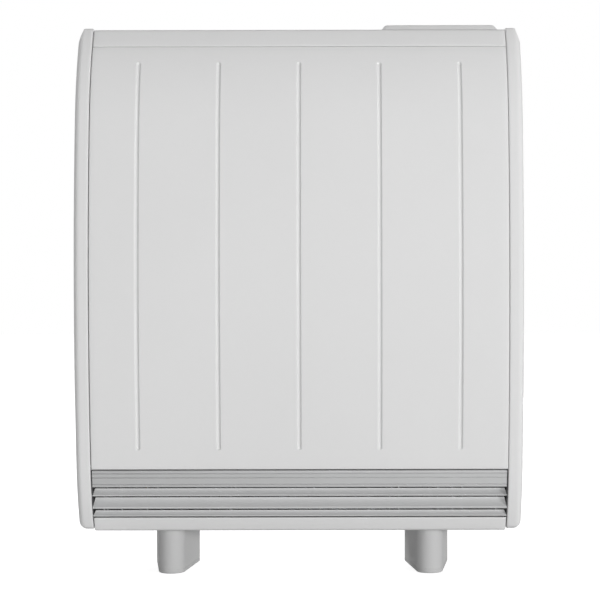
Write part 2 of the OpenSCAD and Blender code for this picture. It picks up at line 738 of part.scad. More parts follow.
pane_t = 1.6;
pane_drop = 0.2;       // how far the display window lies below the hood's top
pane_z = hood_z - pane_drop - pane_t;
module_inset = 2;      // how far the display module lies inside the window's edge
module display_window() color("black")
    block(hood_x - display_w / 2, hood_x + display_w / 2,
        display_y - display_d / 2, display_y + display_d / 2, pane_z, pane_z + pane_t);
module display_module() color("darkgreen")
    block(hood_x - display_w / 2 + module_inset, hood_x + display_w / 2 - module_inset,
        display_y - display_d / 2 + module_inset, display_y + display_d / 2 - module_inset,
        board_top_z, pane_z);
module control_board() color("green")
    block(hood_x - board_half_w, hood_x + board_half_w, opening_y0 + board_t, opening_y1 - board_t,
        board_top_z - board_t, board_top_z);
module button_switches() color("dimgray")
    for (i = [0:button_n - 1]) {
        block(button_x(i) - switch_w / 2, button_x(i) + switch_w / 2,
            button_y - switch_w / 2, button_y + switch_w / 2, board_top_z, board_top_z + switch_body_h);
        bar_z(board_top_z + switch_body_h, board_top_z + switch_h, button_x(i), button_y, stem_r);
    }

// Cap, a collar that stays under the hood and a stem that reaches the switch
module push_button(i) {
    collar_z = hood_z - hood_t - trim_gap;
    bar_z(collar_z - collar_t, button_top_z, button_x(i), button_y, button_r);
    bar_z(collar_z - collar_t, collar_z, button_x(i), button_y, button_r + collar_t);
    bar_z(board_top_z + switch_h + button_travel + seat_gap, collar_z, button_x(i), button_y, stem_r);
}
module menu_button() color("lightgray") push_button(0);
module minus_button() color("lightgray") push_button(1);
module ok_button() color("lightgray") push_button(2);
module plus_button() color("lightgray") push_button(3);
module boost_button() color("lightgray") push_button(4);

// Core -----------------------------------------------------------------------

support_w = 20;
support_inset = 2;     // from the core case's ends to its supports
inner_y0 = grille_back_y + 2;   // front line of what stands behind the grille
module core_supports() color(finish_steel)
    for (x = [case_x0 + support_inset, case_x1 - support_inset - support_w])
        along_y(inner_y0, case_y1) difference() {
            rect(x, x + support_w, floor_z, case_z0);
            rect(x + sheet_t, x + support_w - sheet_t, floor_z + sheet_t, case_z0 - sheet_t);
        }

neck_inset = 20;       // from the duct's ends to the neck up into the core case
neck_x0 = duct_x0 + neck_inset;
neck_x1 = duct_x1 - neck_inset;
module neck(d, z0, z1) block(neck_x0 - d, neck_x1 + d, neck_y0 - d, neck_y1 + d, z0, z1);

sensor_r = 2.5;
sensor_z = bricks_z0 + brick_h;
module core_probe(d, x0, x1) bar_x(x0, x1, bricks_mid_y, sensor_z, sensor_r + d);

module core_case() color(finish_steel) difference() {
    block(case_x0, case_x1, case_y0 + case_t, case_y1, case_z0, case_z1);
    block(case_x0 + case_t, case_x1 - case_t, case_y0 - eps, case_y1 - case_t,
        case_z0 + case_t, case_z1 - case_t);
    for (z = leg_zs) bar_x(case_x1 - case_t - eps, case_x1 + eps, bricks_mid_y, z, bush_r + hole_fit);
    core_probe(hole_fit, case_x1 - case_t - eps, case_x1 + eps);
    neck(0, case_z0 - eps, case_z0 + case_t + eps);
}
module core_case_cover() color(finish_steel)
    block(case_x0, case_x1, case_y0, case_y0 + case_t, case_z0, case_z1);

module insulation_front() color("wheat")
    block(case_x0 + case_t, case_x1 - case_t, case_y0 + case_t, bricks_y0, case_z0 + case_t, case_z1 - case_t);
module insulation_rear() color("wheat")
    block(case_x0 + case_t, case_x1 - case_t, bricks_y1, case_y1 - case_t, case_z0 + case_t, case_z1 - case_t);
module insulation_left() color("wheat")
    block(case_x0 + case_t, bricks_x0, bricks_y0, bricks_y1, bricks_z0, bricks_z1);
module insulation_right() color("wheat") difference() {
    block(bricks_x1, case_x1 - case_t, bricks_y0, bricks_y1, bricks_z0, bricks_z1);
    for (z = leg_zs) bar_x(bricks_x1 - eps, case_x1, bricks_mid_y, z, bush_r + hole_fit);
    core_probe(hole_fit, bricks_x1 - eps, case_x1);
}
module insulation_top() color("wheat")
    block(case_x0 + case_t, case_x1 - case_t, bricks_y0, bricks_y1, bricks_z1, case_z1 - case_t);
module insulation_base() color("wheat") difference() {
    block(case_x0 + case_t, case_x1 - case_t, bricks_y0, bricks_y1, case_z0 + case_t, bricks_z0);
    neck(0, case_z0, bricks_z0 + eps);
}

// One leaf of bricks: grooves for the elements' legs and bends, and an air channel down each brick
air_w = 14;            // width of the air channels between the leaves
air_d = 8;             // and their depth in each leaf
bend_fit = 2;          // play round an element's bend
module brick_leaf(y0, y1)
    for (i = [0:1], j = [0:brick_rows - 1]) {
        x = bricks_x0 + i * brick_w;
        z = bricks_z0 + j * brick_h;
        difference() {
            block(x, x + brick_w - brick_gap, y0, y1 - brick_gap, z, z + brick_h - brick_gap);
            for (s = [-1, 1])
                bar_x(element_bend_x, bricks_x1 + eps, bricks_mid_y, row_z(j) + s * element_leg_pitch / 2,
                    element_r + element_fit);
            block(bricks_x0 + element_inset - element_r - bend_fit, element_bend_x,
                bricks_mid_y - element_r - bend_fit / 2, bricks_mid_y + element_r + bend_fit / 2,
                row_z(j) - element_leg_pitch / 2 - element_r - bend_fit,
                row_z(j) + element_leg_pitch / 2 + element_r + bend_fit);
            block(x + brick_w / 2, x + brick_w / 2 + air_w, bricks_mid_y - air_d, bricks_mid_y + air_d,
                z - eps, z + brick_h + eps);
        }
    }
module storage_bricks_front() color("saddlebrown") brick_leaf(bricks_y0, bricks_mid_y);
module storage_bricks_rear() color("saddlebrown") brick_leaf(bricks_mid_y, bricks_y1);

module heating_elements() color("gray")
    for (i = [0:brick_rows - 1]) {
        for (s = [-1, 1])
            bar_x(element_bend_x, element_end_x, bricks_mid_y, row_z(i) + s * element_leg_pitch / 2, element_r);
        translate([element_bend_x, bricks_mid_y, row_z(i)]) rotate([90, 0, 0]) rotate([0, 0, 90])
            rotate_extrude(angle = 180) translate([element_leg_pitch / 2, 0]) circle(element_r);
    }
module element_bushes() color("ivory")
    for (z = leg_zs) difference() {
        bar_x(bricks_x1, bush_end_x, bricks_mid_y, z, bush_r);
        bar_x(bricks_x1 - eps, bush_end_x + eps, bricks_mid_y, z, element_r + hole_fit);
    }

// Fan and air duct -----------------------------------------------------------

fan_shaft_r = fan_shaft_d / 2;
bearing_r = 8;
bearing_l = 10;
shaft_hole_gap = 2;    // round the fan's shaft in the right end plate
bearing_flange = 4;    // how far the bearing's flange stands out
fan_x0 = duct_x0 + sheet_t + fan_gap;

module scroll_section() {
    difference() {
        disc(fan_y, fan_z, scroll_r);
        disc(fan_y, fan_z, scroll_r - sheet_t);
        rect(duct_y1 - eps, fan_y, fan_z - scroll_r - eps, fan_z + scroll_r + eps);
        rect(fan_y - eps, fan_y + scroll_r + eps, fan_z - scroll_r - eps, fan_z - fan_r / 2);
    }
    rect(duct_y1, fan_y, duct_z1 - sheet_t, duct_z1);
    rect(duct_y1, fan_y - fan_r * 0.6, duct_z0, duct_z0 + sheet_t);
}
module fan_housing() color(finish_steel) {
    along_x(duct_x0, duct_x1) scroll_section();
    for (x = [duct_x0, duct_x1 - sheet_t])
        difference() {
            block(x, x + sheet_t, duct_y1, case_y1, floor_z, duct_z1);
            bar_x(x - eps, x + sheet_t + eps, fan_y, fan_z,
                x == duct_x0 ? bearing_r + hole_fit : fan_shaft_r + shaft_hole_gap);
        }
}

module fan_bearing() color("goldenrod") difference() {
    union() {
        bar_x(duct_x0 - bearing_l, duct_x0 + sheet_t, fan_y, fan_z, bearing_r);
        bar_x(duct_x0 - bearing_l, duct_x0, fan_y, fan_z, bearing_r + bearing_flange);
    }
    bar_x(duct_x0 - bearing_l - eps, duct_x0 + sheet_t + eps, fan_y, fan_z, fan_shaft_r + run_clear);
}

disc_n = 4;            // discs that carry the impeller's blades
disc_t = 1.5;
disc_step = (fan_l - disc_t) / (disc_n - 1);
vane_t = 0.8;
vane_w = 6.6;
vane_angle = 28;
shaft_tail = 4;        // how far the shaft reaches beyond its bearing and its motor
module fan_impeller() color("dimgray") {
    bar_x(duct_x0 - bearing_l - shaft_tail, motor_x0 + motor_l + 2 * shaft_tail, fan_y, fan_z, fan_shaft_r);
    for (i = [0:disc_n - 1])
        bar_x(fan_x0 + i * disc_step, fan_x0 + i * disc_step + disc_t, fan_y, fan_z, fan_r - vane_t / 2);
    for (i = [0:fan_blades - 1])
        translate([fan_x0, fan_y, fan_z]) rotate([i * 360 / fan_blades, 0, 0])
            translate([0, 0, fan_r - vane_w - vane_t / 2]) rotate([vane_angle, 0, 0])
                translate([0, -vane_t / 2, 0]) cube([fan_l, vane_t, vane_w]);
}
module motor_armature() color("gray") difference() {
    bar_x(motor_x0 + motor_plate_t, motor_x0 + motor_l - motor_plate_t, fan_y, fan_z, armature_r);
    bar_x(motor_x0, motor_x0 + motor_l, fan_y, fan_z, fan_shaft_r + run_clear);
}
module fan_motor() color("dimgray") {
    difference() {
        block(motor_x0, motor_x0 + motor_l, fan_y - motor_w / 2, motor_y1,
            fan_z - motor_w / 2, fan_z + motor_w / 2);
        bar_x(motor_x0 + motor_plate_t / 2, motor_x0 + motor_l - motor_plate_t / 2, fan_y, fan_z,
            armature_r + armature_gap);
        bar_x(motor_x0 - eps, motor_x0 + motor_l + eps, fan_y, fan_z, fan_shaft_r + run_clear);
    }
    for (s = [-1, 1], y = [fan_y - motor_w / 2 + motor_post_inset, motor_y1 - motor_post_inset])
        bar_x(duct_x1, motor_x0, y, fan_z + s * (motor_w / 2 - motor_post_inset), motor_post_r);
}

module air_duct() color(finish_steel) {
    difference() {
        along_x(duct_x0, duct_x1) {
            rect(duct_y0, duct_y1, duct_z1 - sheet_t, duct_z1);
            rect(duct_y0, duct_y1, duct_z0, duct_z0 + sheet_t);
        }
        neck(0, duct_z1 - sheet_t - eps, duct_z1 + eps);
    }
    difference() {
        neck(sheet_t, duct_z1 - sheet_t, case_z0);
        neck(0, duct_z1 - sheet_t - eps, case_z0 + eps);
    }
    for (x = [duct_x0, duct_x1 - sheet_t])
        difference() {
            block(x, x + sheet_t, duct_y0, duct_y1, floor_z, duct_z1);
            bar_x(x - eps, x + sheet_t + eps, flap_y, flap_z, flap_shaft_r + run_clear);
            bar_x(x - eps, x + sheet_t + eps, boost_y, boost_z, boost_r + hole_fit);
        }
}

flap_end_gap = 2;      // between the flap and the duct's end plates
flap_t = 1;
flap_motor_l = 20;
flap_motor_w = 27;
flap_tail = 10;        // length of the flap's shaft inside its motor
module mixing_flap() color(finish_steel) {
    bar_x(duct_x0 - flap_shaft_r, duct_x1 + flap_tail, flap_y, flap_z, flap_shaft_r);
    block(duct_x0 + sheet_t + flap_end_gap, duct_x1 - sheet_t - flap_end_gap,
        flap_y - flap_d - flap_shaft_r, flap_y, flap_z + flap_shaft_r - flap_t, flap_z + flap_shaft_r);
}
module flap_motor() color("ivory") difference() {
    block(duct_x1, duct_x1 + flap_motor_l, duct_y1 - flap_motor_w / 2 - flap_back_gap, duct_y1,
        flap_z - flap_motor_w / 2, flap_z + flap_motor_w / 2);
    bar_x(duct_x1 - eps, duct_x1 + flap_tail + eps, flap_y, flap_z, flap_shaft_r + run_clear);
}

boost_r = 4;
boost_fin_r = 9;
boost_gap = 6;         // between the fins and the duct's front end and bottom
boost_fins = 24;
fin_t = 1;
fin_inset = 14;        // from the duct's ends to the outermost fins
fin_step = (duct_x1 - duct_x0 - 2 * fin_inset - fin_t) / (boost_fins - 1);
boost_tail = 10;       // length of the boost element outside the duct
boost_y = duct_y0 + boost_fin_r + boost_gap;
boost_z = duct_z0 + boost_fin_r + boost_gap;
module boost_element() color("gray") {
    bar_x(duct_x0 - boost_tail, duct_x1 + boost_tail, boost_y, boost_z, boost_r);
    for (i = [0:boost_fins - 1])
        bar_x(duct_x0 + fin_inset + i * fin_step, duct_x0 + fin_inset + i * fin_step + fin_t,
            boost_y, boost_z, boost_fin_r);
}

// Wiring compartment ---------------------------------------------------------

plate_z1 = cutout_z - cutout_r - plate_gap;
board_h = 1.3 * brick_h;
board_z0 = case_z0 + edge_insulation_t + plate_gap;
board_z1 = board_z0 + board_h;
board_y0 = inner_y0 + board_edge;
board_y1 = case_y1 - 2 * board_edge;
leg_gap = 4;           // round the bushes in the bracket's plate
bracket_foot_w = 12;
module board_bracket() color(finish_steel) {
    difference() {
        block(bracket_plate_x, bracket_plate_x + sheet_t, inner_y0, case_y1, floor_z, plate_z1);
        for (z = leg_zs)
            bar_x(bracket_plate_x - eps, bracket_plate_x + sheet_t + eps, bricks_mid_y, z, bush_r + leg_gap);
        core_probe(leg_gap, bracket_plate_x - eps, bracket_plate_x + sheet_t + eps);
    }
    block(bracket_plate_x, bracket_plate_x + bracket_foot_w, inner_y0, case_y1, floor_z, floor_z + sheet_t);
    for (y = [board_y0 + board_edge, board_y1 - board_edge], z = [board_z0 + board_edge, board_z1 - board_edge])
        bar_x(bracket_plate_x + sheet_t / 2, board_x, y, z, post_r);
}
relay_h = 28;
relay_l = 22;
relay_t = 16;
relay_step = 44;
coil_w = 32;           // transformer
coil_t = 20;
can_r = 9;             // capacitor
can_l = 18;
module power_board() color("green") {
    difference() {
        block(board_x, board_x + board_t, board_y0, board_y1, board_z0, board_z1);
        for (z = leg_zs)
            bar_x(board_x - eps, board_x + board_t + eps, bricks_mid_y, z, element_r + leg_gap);
    }
    // A relay for each element
    for (i = [0:brick_rows - 1])
        block(board_x + board_t, board_x + board_t + relay_t,
            board_y1 - board_edge - relay_l, board_y1 - board_edge,
            board_z0 + 4 * board_edge + i * relay_step, board_z0 + 4 * board_edge + relay_h + i * relay_step);
    // Transformer and capacitor
    block(board_x + board_t, board_x + board_t + coil_t, board_y0 + board_edge, board_y0 + board_edge + coil_w,
        board_z1 - 2 * board_edge - coil_w, board_z1 - 2 * board_edge);
    bar_x(board_x + board_t, board_x + board_t + can_l, board_y0 + coil_w / 2 + board_edge,
        board_z0 + 4 * board_edge, can_r);
}

terminal_n = 5;
terminal_pitch = 10;
terminal_w = 26;
terminal_h = 22;
terminal_r = 2.5;
terminal_l = (terminal_n + 0.8) * terminal_pitch;
terminal_x = gland_x - terminal_w / 2 - 1;
terminal_y = gland_y - 2 * gland_r - terminal_l;
module terminal_block() color("ivory") difference() {
    block(terminal_x, terminal_x + terminal_w, terminal_y, terminal_y + terminal_l,
        floor_z, floor_z + terminal_h);
    for (i = [0:terminal_n - 1])
        bar_z(floor_z + terminal_h / 2, floor_z + terminal_h + eps, terminal_x + terminal_w / 2,
            terminal_y + (i + 0.9) * terminal_pitch, terminal_r);
}

// Flanged above the tray's floor, with its nose below it
gland_nose = 10;       // below the tray
gland_top = 12;        // above the tray's floor
gland_flange = 4;      // how far its flange stands out
gland_flange_t = 3;
module cable_gland() color("dimgray") difference() {
    union() {
        bar_z(base_z - gland_nose, floor_z + gland_top, gland_x, gland_y, gland_r);
        bar_z(floor_z, floor_z + gland_flange_t, gland_x, gland_y, gland_r + gland_flange);
    }
    bar_z(base_z - gland_nose - eps, floor_z + gland_top + eps, gland_x, gland_y, gland_bore_r);
}

reset_r = 3;
reset_travel = 1;      // how far the reset button is pressed in
reset_depth = 6;       // how deep it sits at rest
reset_proud = 3;       // how far it stands out
module thermal_cutout() color("ivory") difference() {
    bar_x(case_x1, case_x1 + cutout_l, bricks_mid_y, cutout_z, cutout_r);
    bar_x(case_x1 + cutout_l - reset_depth - reset_travel - seat_gap, case_x1 + cutout_l + eps,
        bricks_mid_y, cutout_z, reset_r + trim_gap);
}
module reset_button() color("red")
    bar_x(case_x1 + cutout_l - reset_depth, case_x1 + cutout_l + reset_proud, bricks_mid_y, cutout_z, reset_r);

sensor_tail = 6;       // length of the core sensor outside the core case
module core_sensor() color("gray") {
    core_probe(0, bricks_x1 + sensor_r, case_x1 + sensor_tail);
    core_probe(sensor_r, case_x1, case_x1 + sensor_r);
}
room_sensor_w = 6;
room_sensor_l = 14;
room_sensor_h = 8;
module room_sensor() color("dimgray")
    block(gland_x, gland_x + room_sensor_w, front_y(base_z) + room_sensor_h,
        front_y(base_z) + room_sensor_h + room_sensor_l, floor_z, floor_z + room_sensor_h);

left_side_panel();
right_side_panel();
top_panel();
front_panel();
outlet_grille();
base_tray();
back_panel();
left_foot();
right_foot();
foot_screws();
wall_bracket();
wall_spacers();
back_screws();
control_hood();
display_window();
display_module();
control_board();
button_switches();
menu_button();
minus_button();
ok_button();
plus_button();
boost_button();
core_supports();
core_case();
core_case_cover();
insulation_front();
insulation_rear();
insulation_left();
insulation_right();
insulation_top();
insulation_base();
storage_bricks_front();
storage_bricks_rear();
heating_elements();
element_bushes();
fan_housing();
fan_impeller();
fan_motor();
motor_armature();
fan_bearing();
air_duct();
mixing_flap();
flap_motor();
boost_element();
board_bracket();
power_board();
terminal_block();
cable_gland();
thermal_cutout();
reset_button();
core_sensor();
room_sensor();
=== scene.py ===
# Looks of a fan-assisted storage heater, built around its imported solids.
# Sizes are in millimetres and turned to metres when a mesh is made. Lamps and camera are in metres.
import json
import math
import bmesh
import bpy
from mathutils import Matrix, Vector


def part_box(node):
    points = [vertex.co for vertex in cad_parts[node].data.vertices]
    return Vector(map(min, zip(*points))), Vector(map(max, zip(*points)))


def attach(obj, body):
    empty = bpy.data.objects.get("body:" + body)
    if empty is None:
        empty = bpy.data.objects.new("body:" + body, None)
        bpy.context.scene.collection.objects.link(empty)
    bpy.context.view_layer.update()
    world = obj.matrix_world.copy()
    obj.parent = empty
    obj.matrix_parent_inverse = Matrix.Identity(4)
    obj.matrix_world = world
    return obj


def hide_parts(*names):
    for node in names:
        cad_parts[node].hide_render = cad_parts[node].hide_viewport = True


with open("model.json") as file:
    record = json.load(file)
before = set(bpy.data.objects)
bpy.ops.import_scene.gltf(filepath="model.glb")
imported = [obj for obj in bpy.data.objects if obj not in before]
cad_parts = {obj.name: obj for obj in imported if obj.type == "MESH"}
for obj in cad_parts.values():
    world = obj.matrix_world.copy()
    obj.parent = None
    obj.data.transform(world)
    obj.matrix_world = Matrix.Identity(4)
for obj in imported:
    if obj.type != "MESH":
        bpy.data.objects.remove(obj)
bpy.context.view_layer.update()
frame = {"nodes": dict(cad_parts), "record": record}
nodes = frame["nodes"]
MM = 0.001

# Sizes ------------------------
# X runs to the right, Z runs up and the front faces -Y.


def reach(node, axis, digits=2):
    """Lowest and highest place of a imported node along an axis."""
    i = "xyz".index(axis)
    return [round(corner[i] / MM, digits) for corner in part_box(node)]


def middle(node, axis):
    """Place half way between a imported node's ends along an axis."""
    i = "xyz".index(axis)
    return round(sum(corner[i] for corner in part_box(node)) / 2 / MM, 2)


SKIN = 1.2              # sheet of the panels
SET_BACK = 0.8          # of the front behind the side panels' front edges
INNER_X, OUTER_X = reach("right_side_panel", "x")
PANEL_X = INNER_X - SKIN
# A round front is packed as small flats, so its place is taken to a tenth
FRONT_Y, BACK_Y = reach("right_side_panel", "y", 1)
WALL_Y = reach("wall_bracket", "y")[1]
SIDE_LOW_Z, SIDE_TOP_Z = reach("right_side_panel", "z")
BASE_Z, STRIP_Z = reach("base_tray", "z")
LIP_Z, TOP_Z = reach("top_panel", "z")
FRONT_LOW_Z = reach("front_panel", "z")[0]
FRONT_TOP_Z = LIP_Z - SKIN
GRILLE_Z = FRONT_LOW_Z - SKIN
FASCIA_Z = STRIP_Z + 42.0

# The front is a flat arc with a tighter one above and below it
FRONT_R, TOP_R, LOW_R = 1750.0, 300.0, 260.0
TOP_ARC_H, LOW_ARC_H = 123.5, 90.0
BULGE_Z = BASE_Z + 335.0
TOP_SPLIT = math.asin((SIDE_TOP_Z - TOP_ARC_H - BULGE_Z) / FRONT_R)
LOW_SPLIT = math.asin((BULGE_Z - BASE_Z - LOW_ARC_H) / FRONT_R)
BULGE_Y = FRONT_Y + FRONT_R
TOP_CENTRE = (BULGE_Y - (FRONT_R - TOP_R) * math.cos(TOP_SPLIT),
              BULGE_Z + (FRONT_R - TOP_R) * math.sin(TOP_SPLIT))
LOW_CENTRE = (BULGE_Y - (FRONT_R - LOW_R) * math.cos(LOW_SPLIT),
              BULGE_Z - (FRONT_R - LOW_R) * math.sin(LOW_SPLIT))


def front_arc(z, depth):
    """Centre and radius of the arc that the front follows at height z, laid deeper."""
    if z > BULGE_Z + (FRONT_R - depth) * math.sin(TOP_SPLIT):
        return TOP_CENTRE[0], TOP_CENTRE[1], TOP_R - depth
    if z < BULGE_Z - (FRONT_R - depth) * math.sin(LOW_SPLIT):
        return LOW_CENTRE[0], LOW_CENTRE[1], LOW_R - depth
    return BULGE_Y, BULGE_Z, FRONT_R - depth


def front_y(z, depth=0.0):
    """Place of the side panels' front edges at height z, laid deeper."""
    cy, cz, r = front_arc(z, depth)
    return cy - math.sqrt(r * r - (z - cz) ** 2)


def front_tilt(z, depth=0.0):
    """Angle of the front's outward direction above the horizontal."""
    cy, cz, r = front_arc(z, depth)
    return math.asin((z - cz) / r)


def spread(a, b, n):
    """Evenly spaced values from a to b."""
    return [a + (b - a) * i / (n - 1) for i in range(n)]


# Node trees ------------------------


def feed(tree, given, socket):
    """Links a socket to what is given, or sets it where that is a constant."""
    if isinstance(given, bpy.types.NodeSocket):
        tree.links.new(given, socket)
    else:
        socket.default_value = given


def put(tree, kind, inputs, outlet=0, **settings):
    """A new node with its settings and inputs. Gives the outlet asked for."""
    node = tree.nodes.new(kind)
    for name, value in settings.items():
        setattr(node, name, value)
    for name, given in inputs.items():
        feed(tree, given, node.inputs[name])
    return node.outputs[outlet]


def calc(tree, operation, first, second):
    """A sum, a product or the like of two numbers."""
    return put(tree, "ShaderNodeMath", {0: first, 1: second}, operation=operation)


# Finishes ------------------------

STRETCH = {"bands": (1.0, 0.02, 0.02), "brushed": (0.02, 1.0, 1.0)}
RAMP_STOPS = (0.3, 0.7)
GLOSS_SPREAD = 0.05
finishes = {}


def finish(slot, colour, rough, metal=0.0, mottle=0.03, mottle_scale=9.0, grain=900.0, bump=0.06,
           relief=0.0002, pattern="even", coat=0.0, specular=0.5):
    """A finish whose colour, gloss and surface vary over the piece."""
    mat = bpy.data.materials.new(slot)
    mat.use_nodes = True
    tree = mat.node_tree
    place = put(tree, "ShaderNodeTexCoord", {}, "Object")
    if pattern == "spangle":
        cells = put(tree, "ShaderNodeTexVoronoi", {"Vector": place, "Scale": grain}, "Color")
        fine = put(tree, "ShaderNodeSeparateColor", {"Color": cells})
        tone = fine.node.outputs[1]
    else:
        tone = put(tree, "ShaderNodeTexNoise", {"Vector": place, "Scale": mottle_scale, "Detail": 3.0}, "Fac")
        detail = {"Detail": 4.0, "Roughness": 0.6}
        if pattern in STRETCH:
            place = put(tree, "ShaderNodeMapping", {"Vector": place, "Scale": STRETCH[pattern]}, "Vector")
            detail = {"Detail": 2.0}
        fine = put(tree, "ShaderNodeTexNoise", {"Vector": place, "Scale": grain, **detail}, "Fac")

    ramp = put(tree, "ShaderNodeValToRGB", {"Fac": tone}, "Color")
    for stop, position, share in zip(ramp.node.color_ramp.elements, RAMP_STOPS, (1 - mottle, 1 + mottle)):
        stop.position = position
        stop.color = (*[min(1.0, c * share) for c in colour], 1.0)
    gloss = put(tree, "ShaderNodeMapRange", {
        "Value": fine, "To Min": max(0.02, rough - GLOSS_SPREAD),
        "To Max": min(1.0, rough + GLOSS_SPREAD)}, "Result")
    raised = put(tree, "ShaderNodeBump", {"Height": fine, "Strength": bump, "Distance": relief}, "Normal")

    shader = tree.nodes["Principled BSDF"]
    for name, given in (("Base Color", ramp), ("Roughness", gloss), ("Normal", raised), ("Metallic", metal),
                        ("Coat Weight", coat), ("Specular IOR Level", specular)):
        feed(tree, given, shader.inputs[name])
    finishes[slot] = mat


WHITE = (0.745, 0.745, 0.745)
finish("casing_white", WHITE, 0.52, mottle=0.008, mottle_scale=5.0, grain=1400.0, bump=0.10, specular=0.03)
finish("hood_plastic", WHITE, 0.42, mottle=0.006, grain=1100.0, bump=0.07, specular=0.05)
finish("grille_silver", (0.485, 0.488, 0.49), 0.42, metal=0.1, mottle=0.02, grain=1800.0, bump=0.08,
       specular=0.3)
finish("foot_grey", (0.535, 0.535, 0.535), 0.62, mottle=0.02, grain=1300.0, bump=0.12, specular=0.15)
finish("screw_zinc", (0.62, 0.62, 0.60), 0.30, metal=1.0, mottle=0.05, grain=600.0)
finish("galvanised_steel", (0.58, 0.60, 0.61), 0.38, metal=0.9, mottle=0.10, grain=160.0, pattern="spangle")
finish("spacer_plastic", (0.045, 0.045, 0.048), 0.55, bump=0.15)
finish("display_pane", (0.012, 0.014, 0.016), 0.08, mottle=0.2, grain=200.0, bump=0.01, coat=0.6)
finish("module_plastic", (0.10, 0.12, 0.10), 0.5)
finish("board_laminate", (0.02, 0.13, 0.05), 0.35, mottle=0.35, mottle_scale=120.0, grain=500.0,
       pattern="bands")
finish("switch_plastic", (0.03, 0.03, 0.032), 0.5, grain=1000.0, bump=0.12)
finish("button_grey", (0.56, 0.565, 0.57), 0.40, mottle=0.01, grain=1500.0, bump=0.08)
finish("insulation_board", (0.74, 0.69, 0.58), 0.9, mottle=0.08, mottle_scale=60.0, grain=500.0, bump=0.5,
       relief=0.0006)
finish("storage_brick", (0.16, 0.11, 0.09), 0.85, mottle=0.25, mottle_scale=45.0, grain=400.0, bump=0.45,
       relief=0.0006)
finish("element_sheath", (0.30, 0.28, 0.26), 0.45, metal=0.9, mottle=0.15, mottle_scale=30.0, grain=700.0)
finish("bush_ceramic", (0.84, 0.82, 0.75), 0.6, mottle=0.04, mottle_scale=70.0, grain=800.0, bump=0.2)
finish("impeller_aluminium", (0.66, 0.67, 0.68), 0.32, metal=1.0, mottle=0.05, pattern="brushed")
finish("motor_steel", (0.05, 0.05, 0.053), 0.45, mottle=0.2, grain=1400.0, bump=0.4, pattern="bands")
finish("armature_steel", (0.40, 0.40, 0.41), 0.35, metal=1.0, mottle=0.08, grain=1400.0, bump=0.3,
       pattern="bands")
finish("bearing_bronze", (0.50, 0.33, 0.13), 0.5, metal=0.9, mottle=0.12, mottle_scale=80.0, grain=1500.0,
       bump=0.2)
finish("flap_motor_plastic", (0.76, 0.73, 0.64), 0.45, mottle=0.02, grain=1000.0, bump=0.08)
finish("terminal_plastic", (0.78, 0.76, 0.68), 0.35, mottle=0.02, grain=1000.0)
finish("reset_red", (0.50, 0.03, 0.02), 0.30, mottle=0.05)

for row in frame["record"]["subparts"]:
    for held in nodes[row["node"]].material_slots:
        held.material = finishes[row["material_slot"]]

# Mesh making ------------------------


def raw_object(name, verts, faces, edges=()):
    mesh = bpy.data.meshes.new(name)
    mesh.from_pydata([(x * MM, y * MM, z * MM) for x, y, z in verts], list(edges), faces)
    mesh.update()
    obj = bpy.data.objects.new(name, mesh)
    bpy.context.scene.collection.objects.link(obj)
    return obj


def face_outwards(obj):
    work = bmesh.new()
    work.from_mesh(obj.data)
    bmesh.ops.remove_doubles(work, verts=work.verts, dist=1e-6)
    bmesh.ops.recalc_face_normals(work, faces=work.faces)
    work.to_mesh(obj.data)
    work.free()
    obj.data.update()


def baked(obj):
    """Turns an object's modifiers into plain mesh."""
    if not obj.modifiers:
        return obj
    seen = obj.evaluated_get(bpy.context.evaluated_depsgraph_get())
    mesh = bpy.data.meshes.new_from_object(seen)
    mesh.name = obj.name
    obj.modifiers.clear()
    old = obj.data
    obj.data = mesh
    bpy.data.meshes.remove(old)
    return obj


def piece(obj, slot, body="heater", replaces=(), crease=32.0):
    """Gives a finished mesh its finish and its place in the part."""
    baked(obj)
    obj.data.materials.clear()
    obj.data.materials.append(finishes[slot])
    for face in obj.data.polygons:
        face.material_index = 0
        face.use_smooth = True
    obj.data.set_sharp_from_angle(angle=math.radians(crease))
    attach(obj, body)
    if replaces:
        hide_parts(*replaces)


def wall(obj, thickness):
    """Gives a sheet its thickness, inwards."""
    mod = obj.modifiers.new("wall", "SOLIDIFY")
    mod.thickness = thickness * MM
    mod.offset = -1.0
    return obj


def rounded(obj, width, steps, angle=30.0):
    """Bevels the edges that turn by more than the angle."""
    mod = obj.modifiers.new("rounded", "BEVEL")
    mod.width = width * MM
    mod.segments = steps
    mod.limit_method = "ANGLE"
    mod.angle_limit = math.radians(angle)
    return obj


def cut(obj, cutter):
    """Takes the cutter's shape out of an object."""
    mod = obj.modifiers.new("cut", "BOOLEAN")
    mod.operation = "DIFFERENCE"
    mod.solver = "EXACT"
    mod.object = cutter
    baked(obj)
    bpy.data.objects.remove(cutter)


def joined(name, objs):
    """One object from several."""
    work = bmesh.new()
    for obj in objs:
        baked(obj)
        work.from_mesh(obj.data)
        bpy.data.objects.remove(obj)
    mesh = bpy.data.meshes.new(name)
    work.to_mesh(mesh)
    work.free()
    obj = bpy.data.objects.new(name, mesh)
    bpy.context.scene.collection.objects.link(obj)
    return obj


def ring_faces(rings, n):
    """Quads between neighbouring rings of n points."""
    return [(k * n + i, k * n + (i + 1) % n, (k + 1) * n + (i + 1) % n, (k + 1) * n + i)
            for k in range(rings - 1) for i in range(n)]


def loft(name, rings, ends=(0, -1)):
    """A form through rings of equally many points, with flat ends at the rings named."""
    n = len(rings[0])
    faces = ring_faces(len(rings), n)
    for k in ends:
        first = (k % len(rings)) * n
        faces.append(tuple(range(first, first + n)))
    obj = raw_object(name, [p for ring in rings for p in ring], faces)
    face_outwards(obj)
    return obj


def bar_along_x(name, outline, x0, x1):
    """A bar with the outline drawn in Y and Z."""
    return loft(name, [[(x, y, z) for y, z in outline] for x in (x0, x1)])


def circle(r, steps):
    turns = [2 * math.pi * i / steps for i in range(steps)]
    return [(r * math.cos(a), r * math.sin(a)) for a in turns]


